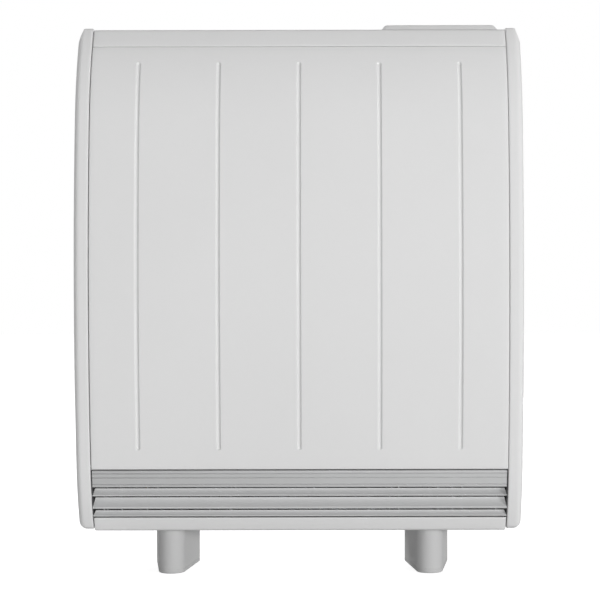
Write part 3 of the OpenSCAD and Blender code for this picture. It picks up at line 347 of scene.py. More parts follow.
def turned(name, profile, centre, axis="z", steps=48):
    """A turned form from (radius, height) points about an upright axis or one along Y.

    A profile that starts or ends off the axis gets a flat end there, unless it closes on itself."""
    cx, cy, cz = centre
    plans = [(circle(radius, steps), height) for radius, height in profile]
    if axis == "z":
        rings = [[(cx + u, cy + v, cz + height) for u, v in plan] for plan, height in plans]
    else:
        rings = [[(cx + u, cy + height, cz + v) for u, v in plan] for plan, height in plans]
    open_profile = profile[0] != profile[-1]
    return loft(name, rings, [k for k in (0, -1) if open_profile and profile[k][0] > 0])


def box_form(name, x0, x1, y0, y1, z0, z1):
    """A plain block between two places on each axis."""
    ring = [(x0, y0), (x1, y0), (x1, y1), (x0, y1)]
    return loft(name, [[(x, y, z) for x, y in ring] for z in (z0, z1)])


def rounded_rect(x0, x1, y0, y1, r, steps=6):
    points = []
    corners = ((x1 - r, y1 - r), (x0 + r, y1 - r), (x0 + r, y0 + r), (x1 - r, y0 + r))
    for i, (cx, cy) in enumerate(corners):
        for a in spread(math.radians(90 * i), math.radians(90 * (i + 1)), steps):
            points.append((cx + r * math.cos(a), cy + r * math.sin(a)))
    return points


# Panels ------------------------
# A panel is a grid. Its rows hold a point, the outward direction there and a cap, and its
# stations hold a place along X and an inset. A point lies in by its station's inset, up to
# the row's cap, which makes the bends and the flanges.

BEND = 1.5
FLANGE, TRAY_FLANGE = 10.0, 6.0
EDGE_R = 6.0                # round upper and lower edge of the casing
LIP_GAP, LIP_BEND = 0.35, 1.0
LEFT_JOINT, RIGHT_JOINT = 1.0, 0.35     # between the front and the side panels
EDGE_IN = 8.0               # from a panel's edge to the first station of its face
ROW_GAP, STATION_GAP = 0.4, 0.3         # closer rows and stations are left out


def tilt_row(cy, cz, r, tilt, cap):
    """A row on a bend about the centre."""
    ny, nz = -math.cos(tilt), math.sin(tilt)
    return (cy + r * ny, cz + r * nz, ny, nz, cap)


def front_rows(z0, z1, low_r, low_run, top_r, top_run, zs, cap, low_steps=5, top_steps=5):
    """Rows that follow the front, with a bend at each end and a flange where it has a run."""
    cz = z0 + low_r
    cy = front_y(cz, SET_BACK + low_r)
    low_tilt = front_tilt(cz, SET_BACK + low_r)
    rows = [(y, z0, 0.0, -1.0, low_r) for y in spread(cy + low_run, cy, 4)[:-1]] if low_run else []
    rows += [tilt_row(cy, cz, low_r, a, low_r) for a in spread(-math.pi / 2, low_tilt, low_steps)]
    low_touch = rows[-1][1]
    cz = z1 - top_r
    cy = front_y(cz, SET_BACK + top_r)
    top_tilt = front_tilt(cz, SET_BACK + top_r)
    upper = [tilt_row(cy, cz, top_r, a, top_r) for a in spread(top_tilt, math.pi / 2, top_steps)]
    top_touch = upper[0][1]
    for z in sorted(set(zs)):
        if low_touch + ROW_GAP < z < top_touch - ROW_GAP:
            a = front_tilt(z, SET_BACK)
            rows.append((front_y(z, SET_BACK), z, -math.cos(a), math.sin(a), cap))
    rows += upper
    if top_run:
        rows += [(y, z1, 0.0, 1.0, top_r) for y in spread(cy, cy + top_run, 4)[1:]]
    return rows


def edge_stations(x0, x1, inner, flange):
    """Side flange, bend, face, bend, side flange."""
    left = [(x0, flange), (x0, (flange + BEND) / 2)]
    left += [(x0 + BEND * (1 - math.cos(a)), BEND * (1 - math.sin(a)))
             for a in spread(0.0, math.pi / 2, 4)]
    right = [(x0 + x1 - x, d) for x, d in reversed(left)]
    return left + [(x, 0.0) for x in inner] + right


def front_stations(inner):
    return edge_stations(-INNER_X + LEFT_JOINT, INNER_X - RIGHT_JOINT, inner, FLANGE)


def thinned(xs):
    """Sorted places without those that lie close behind another."""
    xs = sorted(xs)
    return [x for i, x in enumerate(xs) if i == 0 or x - xs[i - 1] > STATION_GAP]


def panel_mesh(name, rows, stations, relief=None, opening=None):
    """A walled panel. The opening says whether a face at (row, x, y) is left out."""
    verts = []
    for y, z, ny, nz, cap in rows:
        for x, inset in stations:
            d = min(inset, cap)
            if relief and inset == 0.0:
                d += relief(x, z)
            verts.append((x, y - ny * d, z - nz * d))
    n = len(stations)
    faces = []
    for i in range(len(rows) - 1):
        for j in range(n - 1):
            x = (stations[j][0] + stations[j + 1][0]) / 2
            y = (rows[i][0] + rows[i + 1][0]) / 2
            if not (opening and opening(rows[i], x, y)):
                faces.append((i * n + j, i * n + j + 1, (i + 1) * n + j + 1, (i + 1) * n + j))
    return wall(raw_object(name, verts, faces), SKIN)


FLANK = 0.72                # share of a bead's half width that its sloping side takes


def bead_depth(across, along, half_w, half_l, depth):
    """Depth of a pressed bead with round ends and sloping sides."""
    d = math.hypot(across, max(0.0, abs(along) - (half_l - half_w)))
    t = min(1.0, max(0.0, (half_w - d) / (half_w * FLANK)))
    return depth * t * t * (3 - 2 * t)


def beads(xs, z0, z1, half_w, depth):
    """Relief of upright beads at the places xs."""
    def relief(x, z):
        return sum(bead_depth(x - bx, z - (z0 + z1) / 2, half_w, (z1 - z0) / 2, depth)
                   for bx in xs if abs(x - bx) < 2 * half_w)
    return relief


GROOVES, GROOVE_PITCH = 5, 104.7
GROOVE_HALF_W, GROOVE_DEPTH = 3.25, 2.0
GROOVE_Z0, GROOVE_Z1 = FRONT_LOW_Z + 25.0, FRONT_TOP_Z - 20.0
GROOVE_STATIONS = (0.5, 1.1, 1.6, 2.1, 2.6, 3.1, 3.8)      # to each side of a groove's middle
groove_xs = [(i - (GROOVES - 1) / 2) * GROOVE_PITCH for i in range(GROOVES)]


def make_front_panel():
    inner = spread(-PANEL_X + EDGE_IN, PANEL_X - EDGE_IN, 43)
    for gx in groove_xs:
        inner += [gx + s * d for d in GROOVE_STATIONS for s in (-1, 1)] + [gx]
    zs = spread(FRONT_LOW_Z, FRONT_TOP_Z, 60)
    for end, way in ((GROOVE_Z0, 1), (GROOVE_Z1, -1)):
        zs += [end + way * d for d in spread(-0.4, 6.0, 15)]
    rows = front_rows(FRONT_LOW_Z, LIP_Z - LIP_GAP, BEND, FLANGE, LIP_BEND, FLANGE, zs, FLANGE)
    relief = beads(groove_xs, GROOVE_Z0, GROOVE_Z1, GROOVE_HALF_W, GROOVE_DEPTH)
    obj = panel_mesh("front_panel_skin", rows, front_stations(thinned(inner)), relief)
    piece(obj, "casing_white", replaces=["front_panel"])


HOOD_X = middle("control_hood", "x")
HOOD_HALF_W = reach("control_hood", "x")[1] - HOOD_X
HOOD_Y0, HOOD_Y1 = reach("control_hood", "y")
HOOD_Z = reach("control_hood", "z")[1]
OPENING_HALF_W = HOOD_HALF_W - 10.5
OPENING_Y0, OPENING_Y1 = HOOD_Y0 + 9.0, HOOD_Y1 - 9.0


def make_top_panel():
    x0, x1 = HOOD_X - OPENING_HALF_W, HOOD_X + OPENING_HALF_W
    inner = spread(-PANEL_X + EDGE_IN, x0, 12) + spread(x0, x1, 6)[1:] + [PANEL_X - EDGE_IN]
    rows = front_rows(LIP_Z, TOP_Z, LIP_BEND, FLANGE, EDGE_R, 0.0, spread(LIP_Z, TOP_Z, 9), FLANGE,
                      top_steps=10)
    ys = sorted(spread(rows[-1][0], BACK_Y, 9)[1:] + [OPENING_Y0, OPENING_Y1])
    rows += [(y, TOP_Z, 0.0, 1.0, FLANGE) for y in ys]

    def opening(row, x, y):
        return x0 < x < x1 and OPENING_Y0 < y < OPENING_Y1 and row[3] > 0.999

    obj = panel_mesh("top_panel_skin", rows, front_stations(inner), opening=opening)
    piece(obj, "casing_white", replaces=["top_panel"])


SLOTS, SLOT_PITCH, SLOT_W, SLOT_L = 13, 16.0, 6.0, 42.0
SLOT_X, SLOT_Y = middle("fan_housing", "x"), middle("fan_bearing", "y")
slot_xs = [SLOT_X + (i - (SLOTS - 1) / 2) * SLOT_PITCH for i in range(SLOTS)]
GLAND_X, GLAND_Y = middle("cable_gland", "x"), middle("cable_gland", "y")
GLAND_OPENING = 10.0
TRAY_BACK_Y = BACK_Y - SKIN - 0.2


def make_base_tray():
    around = [s * GLAND_OPENING for s in (-1, 1)]
    inner = [-PANEL_X + EDGE_IN, PANEL_X - EDGE_IN] + [GLAND_X + d for d in around]
    inner += [x + s * SLOT_W / 2 for x in slot_xs for s in (-1, 1)]
    rows = front_rows(BASE_Z, STRIP_Z, EDGE_R, 0.0, SKIN, FLANGE, spread(BASE_Z, STRIP_Z, 8), TRAY_FLANGE,
                      low_steps=10)
    ys = spread(rows[0][0], TRAY_BACK_Y, 8)[1:] + [SLOT_Y - SLOT_L / 2, SLOT_Y + SLOT_L / 2]
    ys += [GLAND_Y + d for d in around]
    rows = [(y, BASE_Z, 0.0, -1.0, TRAY_FLANGE) for y in sorted(ys, reverse=True)] + rows

    def opening(row, x, y):
        gland = abs(x - GLAND_X) < GLAND_OPENING and abs(y - GLAND_Y) < GLAND_OPENING
        slot = abs(y - SLOT_Y) < SLOT_L / 2 and any(abs(x - sx) < SLOT_W / 2 for sx in slot_xs)
        return row[3] < -0.999 and (gland or slot)

    stations = edge_stations(-PANEL_X, PANEL_X, sorted(inner), TRAY_FLANGE)
    obj = panel_mesh("base_tray_skin", rows, stations, opening=opening)
    piece(obj, "casing_white", replaces=["base_tray"])


RIB_XS = (-210.0, -105.0, 0.0, 105.0, 210.0)
RIB_Z0, RIB_Z1, RIB_HALF_W, RIB_DEPTH = 190.0, 600.0, 9.0, 1.4


def make_back_panel():
    inner = spread(-INNER_X + EDGE_IN, INNER_X - EDGE_IN, 9)
    for rx in RIB_XS:
        inner += [rx + d for d in spread(-RIB_HALF_W - 0.5, RIB_HALF_W + 0.5, 15)]
    zs = spread(BASE_Z + SKIN, TOP_Z - SKIN, 30)
    for end in (RIB_Z0, RIB_Z1):
        zs += spread(end - 10, end + 10, 15)
    rows = [(BACK_Y, z, 1.0, 0.0, FLANGE) for z in sorted(set(zs), reverse=True)]
    stations = edge_stations(-INNER_X, INNER_X, thinned(inner), FLANGE)
    obj = panel_mesh("back_panel_skin", rows, stations, beads(RIB_XS, RIB_Z0, RIB_Z1, RIB_HALF_W, RIB_DEPTH))
    piece(obj, "casing_white", replaces=["back_panel"])


# Side panels ------------------------

SIDE_IN = 0.02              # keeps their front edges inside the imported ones
SIDE_EDGE_R, SIDE_LOW_R, SIDE_REAR_R = 8.0, 11.0, 2.0       # rounds from the outer face to each edge
SIDE_CORNERS = (6.0, 9.0)   # radii of the outline's upper and lower front corners
SIDE_BACK_CORNER = 1.0
SIDE_FLANGES = ((46.0, 24.0), (12.0, 10.0))     # depth of the flange's rings at the front, elsewhere
FLANGE_CORNER = 4.0
SHOULDER_W, SHOULDER_H, SHOULDER_POWER = 6.6, 22.0, 0.77


def side_outline(front, top, low, back, top_r, low_r):
    """Closed outline of a side panel in Y and Z, with each edge laid in by its own amount."""
    front += SIDE_IN
    z0, z1, y1 = SIDE_LOW_Z + low, SIDE_TOP_Z - top, BACK_Y - back
    back_r = SIDE_BACK_CORNER

    def corner(cy, cz, r, a0, a1, steps):
        return [tilt_row(cy, cz, r, a, 0)[:2] for a in spread(a0, a1, steps)]

    low_z, top_z = z0 + low_r, z1 - top_r
    low_y, top_y = front_y(low_z, front + low_r), front_y(top_z, front + top_r)
    lower = corner(low_y, low_z, low_r, -math.pi / 2, front_tilt(low_z, front + low_r), 8)
    upper = corner(top_y, top_z, top_r, front_tilt(top_z, front + top_r), math.pi / 2, 8)
    line = [(y, z0) for y in spread(y1 - back_r, low_y, 7)[:-1]] + lower
    line += [(front_y(z, front), z) for z in spread(lower[-1][1], upper[0][1], 72)[1:-1]] + upper
    line += [(y, z1) for y in spread(top_y, y1 - back_r, 7)[1:]]
    line += corner(y1 - back_r, z1 - back_r, back_r, math.pi / 2, math.pi, 4)[1:]
    line += [(y1, z) for z in spread(z1 - back_r, z0 + back_r, 9)[1:]]
    line += corner(y1 - back_r, z0 + back_r, back_r, math.pi, 1.5 * math.pi, 4)[1:-1]
    return line


def edge_in(x, r):
    """How far an edge rounded with radius r lies in at x."""
    u = x - (OUTER_X - r)
    return 0.0 if u <= 0 else r - math.sqrt(max(0.0, r * r - u * u))


def shoulder_in(x):
    """How far the top lies in at x, where the panel leans in towards its upper edge."""
    u = max(0.0, OUTER_X - x)
    return 0.0 if u >= SHOULDER_W else SHOULDER_H * (1 - (u / SHOULDER_W) ** SHOULDER_POWER)


def make_side_panel(s, name, node):
    """A side panel, left with s -1 and right with s 1."""
    top_r, low_r = SIDE_CORNERS
    rings = [(INNER_X, side_outline(front, rim, rim, rim, FLANGE_CORNER, FLANGE_CORNER))
             for front, rim in SIDE_FLANGES]
    quarter = math.pi / 2
    for a in spread(0.0, quarter, 4):
        d = BEND * (1 - math.sin(a))
        rings.append((INNER_X + BEND * (1 - math.cos(a)), side_outline(d, d, d, d, top_r - d, low_r - d)))
    outer_xs = [OUTER_X - SIDE_LOW_R * (1 - math.sin(a)) for a in spread(0.0, quarter, 12)]
    for x in [INNER_X + 4, INNER_X + 6] + outer_xs:
        front, top, low = edge_in(x, SIDE_EDGE_R), shoulder_in(x), edge_in(x, SIDE_LOW_R)
        rings.append((x, side_outline(front, top, low, edge_in(x, SIDE_REAR_R),
                                      max(1.0, top_r - min(front, top)), max(1.5, low_r - min(front, low)))))
    n = len(rings[0][1])
    faces = ring_faces(len(rings), n) + [tuple(range((len(rings) - 1) * n, len(rings) * n))]
    if s > 0:
        faces = [face[::-1] for face in faces]
    obj = raw_object(name, [(s * x, y, z) for x, ring in rings for y, z in ring], faces)
    piece(wall(obj, SKIN), "casing_white", replaces=[node], crease=40.0)


# Outlet grille ------------------------

GRILLE_HALF = INNER_X - 2.0
BLADE_HALF = INNER_X - 0.8
NOSE_R, BLADE_T, CREST_H = 1.6, 1.6, 0.35
BLADE_RISE = 0.82 * (FASCIA_Z - STRIP_Z) / 3
NOSE_SLOPE, CREST_SLOPE = math.radians(50.0), math.radians(84.0)
BLADE_BEND_R = BLADE_RISE / (math.cos(NOSE_SLOPE) - math.cos(CREST_SLOPE))
END_SLOPE = 0.95            # how much of its length a blade loses per metre above its nose
# Each blade, from the top: its nose above the strip and behind the front edges, and its size
BLADES = ((30.2, 6.0, 0.76), (14.0, NOSE_R + SET_BACK, 1.10), (2.6, NOSE_R + SET_BACK, 0.60))
noses = [(front_y(STRIP_Z + rise) + depth, STRIP_Z + rise) for rise, depth, size in BLADES]
blade_sizes = [size for rise, depth, size in BLADES]

FASCIA_T, FASCIA_DEPTH, FASCIA_EDGE = 1.6, 2.2, 2.6
FASCIA_TOP_RUN, FASCIA_LOW_RUN = 12.0, 6.5
LINE_ZS = (GRILLE_Z - 4.3, GRILLE_Z - 9.8, GRILLE_Z - 18.8)
LINE_HALF_W, LINE_DEPTH = 0.85, 1.2
LINE_BOTTOM = 0.12          # half the flat at the bottom of a pressed line

COMB_Y, COMB_DEPTH, COMB_HALF_T, COMB_IN = -34.2, 12.0, 0.8, 14.0
ARM_START, ARM_LOW, ARM_HIGH = 3.65, 0.45, 0.7
# The cheeks are painted shade: black sheets in the grille's end gaps that stand in for the shade there
CHEEK_DEPTH, NOTCH_DEPTH, NOTCH_HALF_W = 1.4, 3.6, 4.0
CHEEK_LOW, CHEEK_TOP, CHEEK_X0, CHEEK_X1 = 0.2, 0.6, 0.3, 0.25      # clearances all round


def blade_outline():
    """Section of a blade about its nose: a rolled front edge and a hollow face, steeper upwards."""
    back_angle = NOSE_SLOPE + math.asin(0.5 * NOSE_R / BLADE_BEND_R)
    nose = [(NOSE_R * math.cos(a), NOSE_R * math.sin(a))
            for a in spread(NOSE_SLOPE + math.pi / 2, back_angle + 2 * math.pi, 16)]

    def face(r, slopes):
        return [(-BLADE_BEND_R * math.sin(NOSE_SLOPE) + r * math.sin(a),
                 BLADE_BEND_R * math.cos(NOSE_SLOPE) - r * math.cos(a)) for a in slopes]

    low = face(BLADE_BEND_R, spread(2 * back_angle - NOSE_SLOPE, CREST_SLOPE, 11)[1:])
    high = face(BLADE_BEND_R - BLADE_T, spread(CREST_SLOPE, NOSE_SLOPE, 12)[:-1])
    crest = [((low[-1][0] + high[0][0]) / 2, (low[-1][1] + high[0][1]) / 2 + CREST_H)]
    return nose + low + crest + high


def new_tree(name, made, sockets):
    """A geometry tree with named inputs. Gives the tree, its inputs and the socket of its result."""
    tree = bpy.data.node_groups.new(name, "GeometryNodeTree")
    for socket, kind in sockets.items():
        tree.interface.new_socket(name=socket, in_out="INPUT", socket_type="NodeSocket" + kind)
    tree.interface.new_socket(name=made, in_out="OUTPUT", socket_type="NodeSocketGeometry")
    given = tree.nodes.new("NodeGroupInput").outputs
    return tree, given, tree.nodes.new("NodeGroupOutput").inputs[made]


def end_tree(tree, instances, given, result):
    """Makes the instances real, with their finish."""
    real = put(tree, "GeometryNodeRealizeInstances", {"Geometry": instances}, "Geometry")
    paint = put(tree, "GeometryNodeSetMaterial", {"Geometry": real, "Material": given["Finish"]}, "Geometry")
    feed(tree, paint, result)
    return tree


def louvre_tree():
    """Blades of one section, each set at a point of the input mesh and scaled by its size there."""
    tree, given, result = new_tree("louvre_blades", "Blades", {
        "Noses": "Geometry", "Section": "Object", "Length": "Float", "End Slope": "Float",
        "Finish": "Material"})
    half = calc(tree, "MULTIPLY", given["Length"], 0.5)
    back = calc(tree, "MULTIPLY", given["Length"], -0.5)
    start = put(tree, "ShaderNodeCombineXYZ", {"X": back})
    end = put(tree, "ShaderNodeCombineXYZ", {"X": half})
    rail = put(tree, "GeometryNodeCurvePrimitiveLine", {"Start": start, "End": end}, "Curve")
    section = put(tree, "GeometryNodeObjectInfo", {"Object": given["Section"]}, "Geometry")
    profile = put(tree, "GeometryNodeMeshToCurve", {"Mesh": section}, "Curve")
    blade = put(tree, "GeometryNodeCurveToMesh",
                {"Curve": rail, "Profile Curve": profile, "Fill Caps": True}, "Mesh")
    # The ends draw in with height
    at = put(tree, "ShaderNodeSeparateXYZ", {0: put(tree, "GeometryNodeInputPosition", {})}).node.outputs
    above = calc(tree, "MAXIMUM", at["Z"], 0.0)
    share = calc(tree, "SUBTRACT", 1.0, calc(tree, "MULTIPLY", above, given["End Slope"]))
    drawn = calc(tree, "MULTIPLY", at["X"], share)
    place = put(tree, "ShaderNodeCombineXYZ", {"X": drawn, "Y": at["Y"], "Z": at["Z"]})
    blade = put(tree, "GeometryNodeSetPosition", {"Geometry": blade, "Position": place}, "Geometry")
    size = put(tree, "GeometryNodeInputNamedAttribute", {"Name": "size"}, "Attribute", data_type="FLOAT")
    scale = put(tree, "ShaderNodeCombineXYZ", {"X": 1.0, "Y": size, "Z": size})
    blades = put(tree, "GeometryNodeInstanceOnPoints",
                 {"Points": given["Noses"], "Instance": blade, "Scale": scale}, "Instances")
    return end_tree(tree, blades, given, result)


def run_tree(name, points, tree, inputs, sizes=()):
    """An object of loose points with a node tree on it, turned to plain mesh."""
    obj = raw_object(name, points, [])
    if sizes:
        obj.data.attributes.new("size", "FLOAT", "POINT").data.foreach_set("value", sizes)
    mod = obj.modifiers.new("nodes", "NODES")
    mod.node_group = tree
    for item in tree.interface.items_tree:
        if item.in_out == "INPUT" and item.name in inputs:
            mod[item.identifier] = inputs[item.name]
    return baked(obj)


def make_blades():
    outline = blade_outline()
    n = len(outline)
    # The sweep gives its section half a turn, so the section is drawn turned as well
    section = raw_object("blade_section", [(-u, -v, 0.0) for u, v in outline], [],
                         [(i, (i + 1) % n) for i in range(n)])
    blades = run_tree("blades", [(0.0, y, z) for y, z in noses], louvre_tree(),
                      {"Section": section, "Length": 2 * BLADE_HALF * MM, "End Slope": END_SLOPE,
                       "Finish": finishes["grille_silver"]}, blade_sizes)
    bpy.data.objects.remove(section)
    face_outwards(blades)
    return blades


def make_fascia():
    """The plain band above the blades, with its pressed lines and a rolled upper edge."""
    zs = spread(FASCIA_Z, GRILLE_Z, 24)
    for z in LINE_ZS:
        zs += [z - LINE_HALF_W, z - LINE_BOTTOM, z + LINE_BOTTOM, z + LINE_HALF_W]
    zs += [GRILLE_Z - FASCIA_EDGE * (1 - math.cos(a)) for a in spread(0.0, math.pi / 2, 6)]
    outer = []
    for z in sorted(set(zs)):
        line = sum(LINE_DEPTH * (1 - abs(z - c) / LINE_HALF_W) for c in LINE_ZS if abs(z - c) < LINE_HALF_W)
        rise = max(0.0, z - (GRILLE_Z - FASCIA_EDGE))
        edge = FASCIA_EDGE - math.sqrt(max(0.0, FASCIA_EDGE ** 2 - rise ** 2))
        outer.append((front_y(z, SET_BACK) + line + edge, z))
    inside = [(front_y(z, SET_BACK + FASCIA_DEPTH), z)
              for z in spread(GRILLE_Z - FASCIA_T, FASCIA_Z + FASCIA_T, 6)]
    top_y, low_y = outer[-1][0] + FASCIA_TOP_RUN, outer[0][0] + FASCIA_LOW_RUN
    outline = outer + [(top_y, GRILLE_Z), (top_y, GRILLE_Z - FASCIA_T)] + inside
    outline += [(low_y, FASCIA_Z + FASCIA_T), (low_y, FASCIA_Z)]
    return rounded(bar_along_x("fascia", outline, -GRILLE_HALF, GRILLE_HALF), 0.4, 2, 80)


def make_combs():
    """Upright plates behind the blades, with an arm to each blade."""
    forms = []
    for x in (-INNER_X + COMB_IN, -INNER_X / 3, INNER_X / 3, INNER_X - COMB_IN):
        sides = x - COMB_HALF_T, x + COMB_HALF_T
        plate = box_form("comb", *sides, COMB_Y - COMB_DEPTH, COMB_Y, STRIP_Z + 0.05, FRONT_LOW_Z - 0.1)
        forms.append(rounded(plate, 0.3, 1))
        for (y, z), size in zip(noses, blade_sizes):
            forms.append(box_form("arm", *sides, y + ARM_START * size, COMB_Y - 1,
                                  z + BLADE_RISE * ARM_LOW * size, z + BLADE_RISE * ARM_HIGH * size))
    return forms


def cheek_depth(z):
    """How far a cheek lies behind the front: level at the fascia, deeper round each nose."""
    near = min(abs(z - nose_z) for y, nose_z in noses)
    return CHEEK_DEPTH + (0.0 if z > FASCIA_Z else NOTCH_DEPTH * max(0.0, 1 - near / NOTCH_HALF_W))


def make_grille():
    piece(joined("grille_louvres", [make_blades(), make_fascia()] + make_combs()), "grille_silver",
          replaces=["outlet_grille"], crease=35.0)
    # Black cheeks in the gaps at the ends: painted shade, black sheets that stand in for the shade in the end
    # gaps, notched where the shade lines at the noses break
    zs = spread(STRIP_Z + CHEEK_LOW, GRILLE_Z - CHEEK_TOP, 60)
    ring = [(front_y(z, SET_BACK) + cheek_depth(z), z) for z in zs] + [(COMB_Y, zs[-1]), (COMB_Y, zs[0])]
    cheeks = [bar_along_x("cheek", ring, s * (GRILLE_HALF + CHEEK_X0), s * (INNER_X - CHEEK_X1))
              for s in (-1, 1)]
    piece(joined("grille_cheeks", cheeks), "switch_plastic")


# Feet ------------------------

FOOT_X = middle("right_foot", "x")
FOOT_Y0, FOOT_Y1 = reach("right_foot", "y", 1)
FOOT_NOSE_R, FOOT_CORNER_R = 17.8, 3.0
FOOT_FLARE = math.radians(8.2)
# Height and inset of a foot's rings: a rounded sole, a fine bead above it, a plain shaft
FOOT_RINGS = ((0.0, 1.2), (0.4, 0.5), (1.2, 0.0), (5.0, 0.0), (5.2, 0.35), (5.8, 0.35), (6.0, 0.0),
              (30.0, 0.0), (BASE_Z, 0.0))


def foot_outline(x, inset):
    """Plan of a foot: a round nose, flanks that open to the back and rounded back corners."""
    r = FOOT_NOSE_R - inset
    cy = FOOT_Y0 + FOOT_NOSE_R
    half = [(r * math.sin(a), cy - r * math.cos(a)) for a in spread(0.0, math.pi / 2 - FOOT_FLARE, 16)]
    y1 = FOOT_Y1 - inset
    tx, ty = half[-1]
    corner = FOOT_CORNER_R - inset
    bx = tx + (y1 - ty) * math.tan(FOOT_FLARE)
    half += [(tx + (bx - tx) * t, ty + (y1 - ty) * t) for t in (0.3, 0.6, 0.9)]
    cx, cc = bx - corner * math.tan(math.pi / 4 + FOOT_FLARE / 2), y1 - corner
    half += [(cx + corner * math.cos(a), cc + corner * math.sin(a))
             for a in spread(-FOOT_FLARE, math.pi / 2, 6)]
    left = [(-u, v) for u, v in reversed(half[1:])]
    return [(x + u, v) for u, v in half + left]


def make_foot(x, name, node):
    obj = loft(name, [[(px, py, z) for px, py in foot_outline(x, inset)] for z, inset in FOOT_RINGS])
    piece(obj, "foot_grey", replaces=[node], crease=45.0)


# Control hood ------------------------

HOOD_SLOPE, HOOD_WALL, HOOD_CORNER_R, HOOD_EDGE_R = 5.5, 2.0, 6.0, 1.8
HOOD_JOINT_IN, HOOD_JOINT_H = 1.5, 1.1          # shadow joint at the hood's foot
DISPLAY_X, DISPLAY_Y = middle("display_window", "x"), middle("display_window", "y")
DISPLAY_HALF_W = reach("display_window", "x")[1] - DISPLAY_X
DISPLAY_HALF_D = round(reach("display_window", "y")[1] - DISPLAY_Y, 2)
DISPLAY_Z0, DISPLAY_Z1 = reach("display_window", "z")
DISPLAY_CORNER_R = 2.0
BUTTON_Y = middle("button_switches", "y")
BUTTON_R, BUTTON_PITCH, BUTTON_PROUD, BUTTON_RIM = 5.0, 20.0, 0.8, 1.2
BUTTONS = ("menu", "minus", "ok", "plus", "boost")
button_xs = [HOOD_X + (i - 2) * BUTTON_PITCH for i in range(len(BUTTONS))]
STEM_R, STEM_H = 1.6, 3.0
TRIM_GAP, WELL_BEVEL = 0.3, 0.6
POST_R, POST_X, POST_IN = 2.5, 55.5, 6.0
POST_BELOW, POST_TOP = 8.0, 1.5         # from the casing's top and from the hood's top, downwards


def hood_ring(d, z):
    """Outline of the hood at height z, laid in by d."""
    d_side = d + HOOD_SLOPE * (z - TOP_Z) / (HOOD_Z - TOP_Z)
    return [(x, y, z) for x, y in rounded_rect(
        HOOD_X - HOOD_HALF_W + d_side, HOOD_X + HOOD_HALF_W - d_side,
        HOOD_Y0 + d_side, HOOD_Y1 - d_side, max(1.0, HOOD_CORNER_R - d))]


def display_ring(d, r, z):
    """Outline of the display at height z, laid in by d."""
    return [(x, y, z) for x, y in rounded_rect(
        DISPLAY_X - DISPLAY_HALF_W + d, DISPLAY_X + DISPLAY_HALF_W - d,
        DISPLAY_Y - DISPLAY_HALF_D + d, DISPLAY_Y + DISPLAY_HALF_D - d, r)]


def make_hood():
    foot_z = TOP_Z + HOOD_JOINT_H
    levels = [(HOOD_JOINT_IN, TOP_Z), (HOOD_JOINT_IN, foot_z), (0.0, foot_z)]
    levels += [(0.9 * HOOD_EDGE_R * (1 - math.cos(a)), HOOD_Z - HOOD_EDGE_R * (1 - math.sin(a)))
               for a in spread(0.0, math.pi / 2, 6)]
    shell = loft("shell", [hood_ring(d, z) for d, z in levels])
    cut(shell, loft("hollow", [hood_ring(HOOD_WALL, z) for z in (TOP_Z - 1, HOOD_Z - HOOD_WALL)]))
    cut(shell, loft("window", [display_ring(-TRIM_GAP, DISPLAY_CORNER_R + TRIM_GAP, z)
                               for z in (TOP_Z + 1, HOOD_Z + 1)]))
    well_r = BUTTON_R + TRIM_GAP
    for x in button_xs:
        cut(shell, turned("well", [(well_r, TOP_Z + 1), (well_r, HOOD_Z - 0.5),
                                   (well_r + WELL_BEVEL, HOOD_Z + 0.1), (well_r + WELL_BEVEL, HOOD_Z + 1)],
                          (x, BUTTON_Y, 0.0)))
    post = [(POST_R, TOP_Z - POST_BELOW), (POST_R, HOOD_Z - POST_TOP)]
    posts = [turned("post", post, (HOOD_X + s * POST_X, y, 0.0))
             for s in (-1, 1) for y in (OPENING_Y0 + POST_IN, OPENING_Y1 - POST_IN)]
    piece(joined("control_hood_shell", [shell] + posts), "hood_plastic", replaces=["control_hood"])


def make_display():
    levels = ((0.0, DISPLAY_Z0), (0.0, DISPLAY_Z1 - 0.3), (0.3, DISPLAY_Z1))
    pane = loft("display_pane_glass", [display_ring(d, DISPLAY_CORNER_R, z) for d, z in levels])
    piece(pane, "display_pane", replaces=["display_window"])


SIGN_Z = HOOD_Z + BUTTON_PROUD
SIGN_T, SIGN_W = 0.15, 0.7
# Bars of the sign on each button: place from its middle, length, width and turn in degrees
SIGNS = {
    "menu": [(0.0, d, 4.6, 0.6, 0) for d in (-1.5, 0.0, 1.5)],
    "minus": [(0.0, 0.0, 4.2, SIGN_W, 0)],
    "ok": [(-1.35, -0.55, 2.4, SIGN_W, -45), (0.75, 0.2, 4.4, SIGN_W, 48)],
    "plus": [(0.0, 0.0, 4.2, SIGN_W, 0), (0.0, 0.0, SIGN_W, 4.2, 0)],
    "boost": [(s * 0.95, d, 3.2, SIGN_W, -s * 45) for s in (-1, 1) for d in (-1.0, 1.0)],
}


def sign_bar(cx, cy, length, width, turn):
    """One bar of a sign, raised on its button."""
    c, s = math.cos(math.radians(turn)), math.sin(math.radians(turn))
    plan = rounded_rect(-length / 2, length / 2, -width / 2, width / 2, min(length, width) * 0.45, 4)
    ring = [(cx + u * c - v * s, cy + u * s + v * c) for u, v in plan]
    return loft("bar", [[(x, y, z) for x, y in ring] for z in (SIGN_Z - SIGN_T - 0.1, SIGN_Z)])


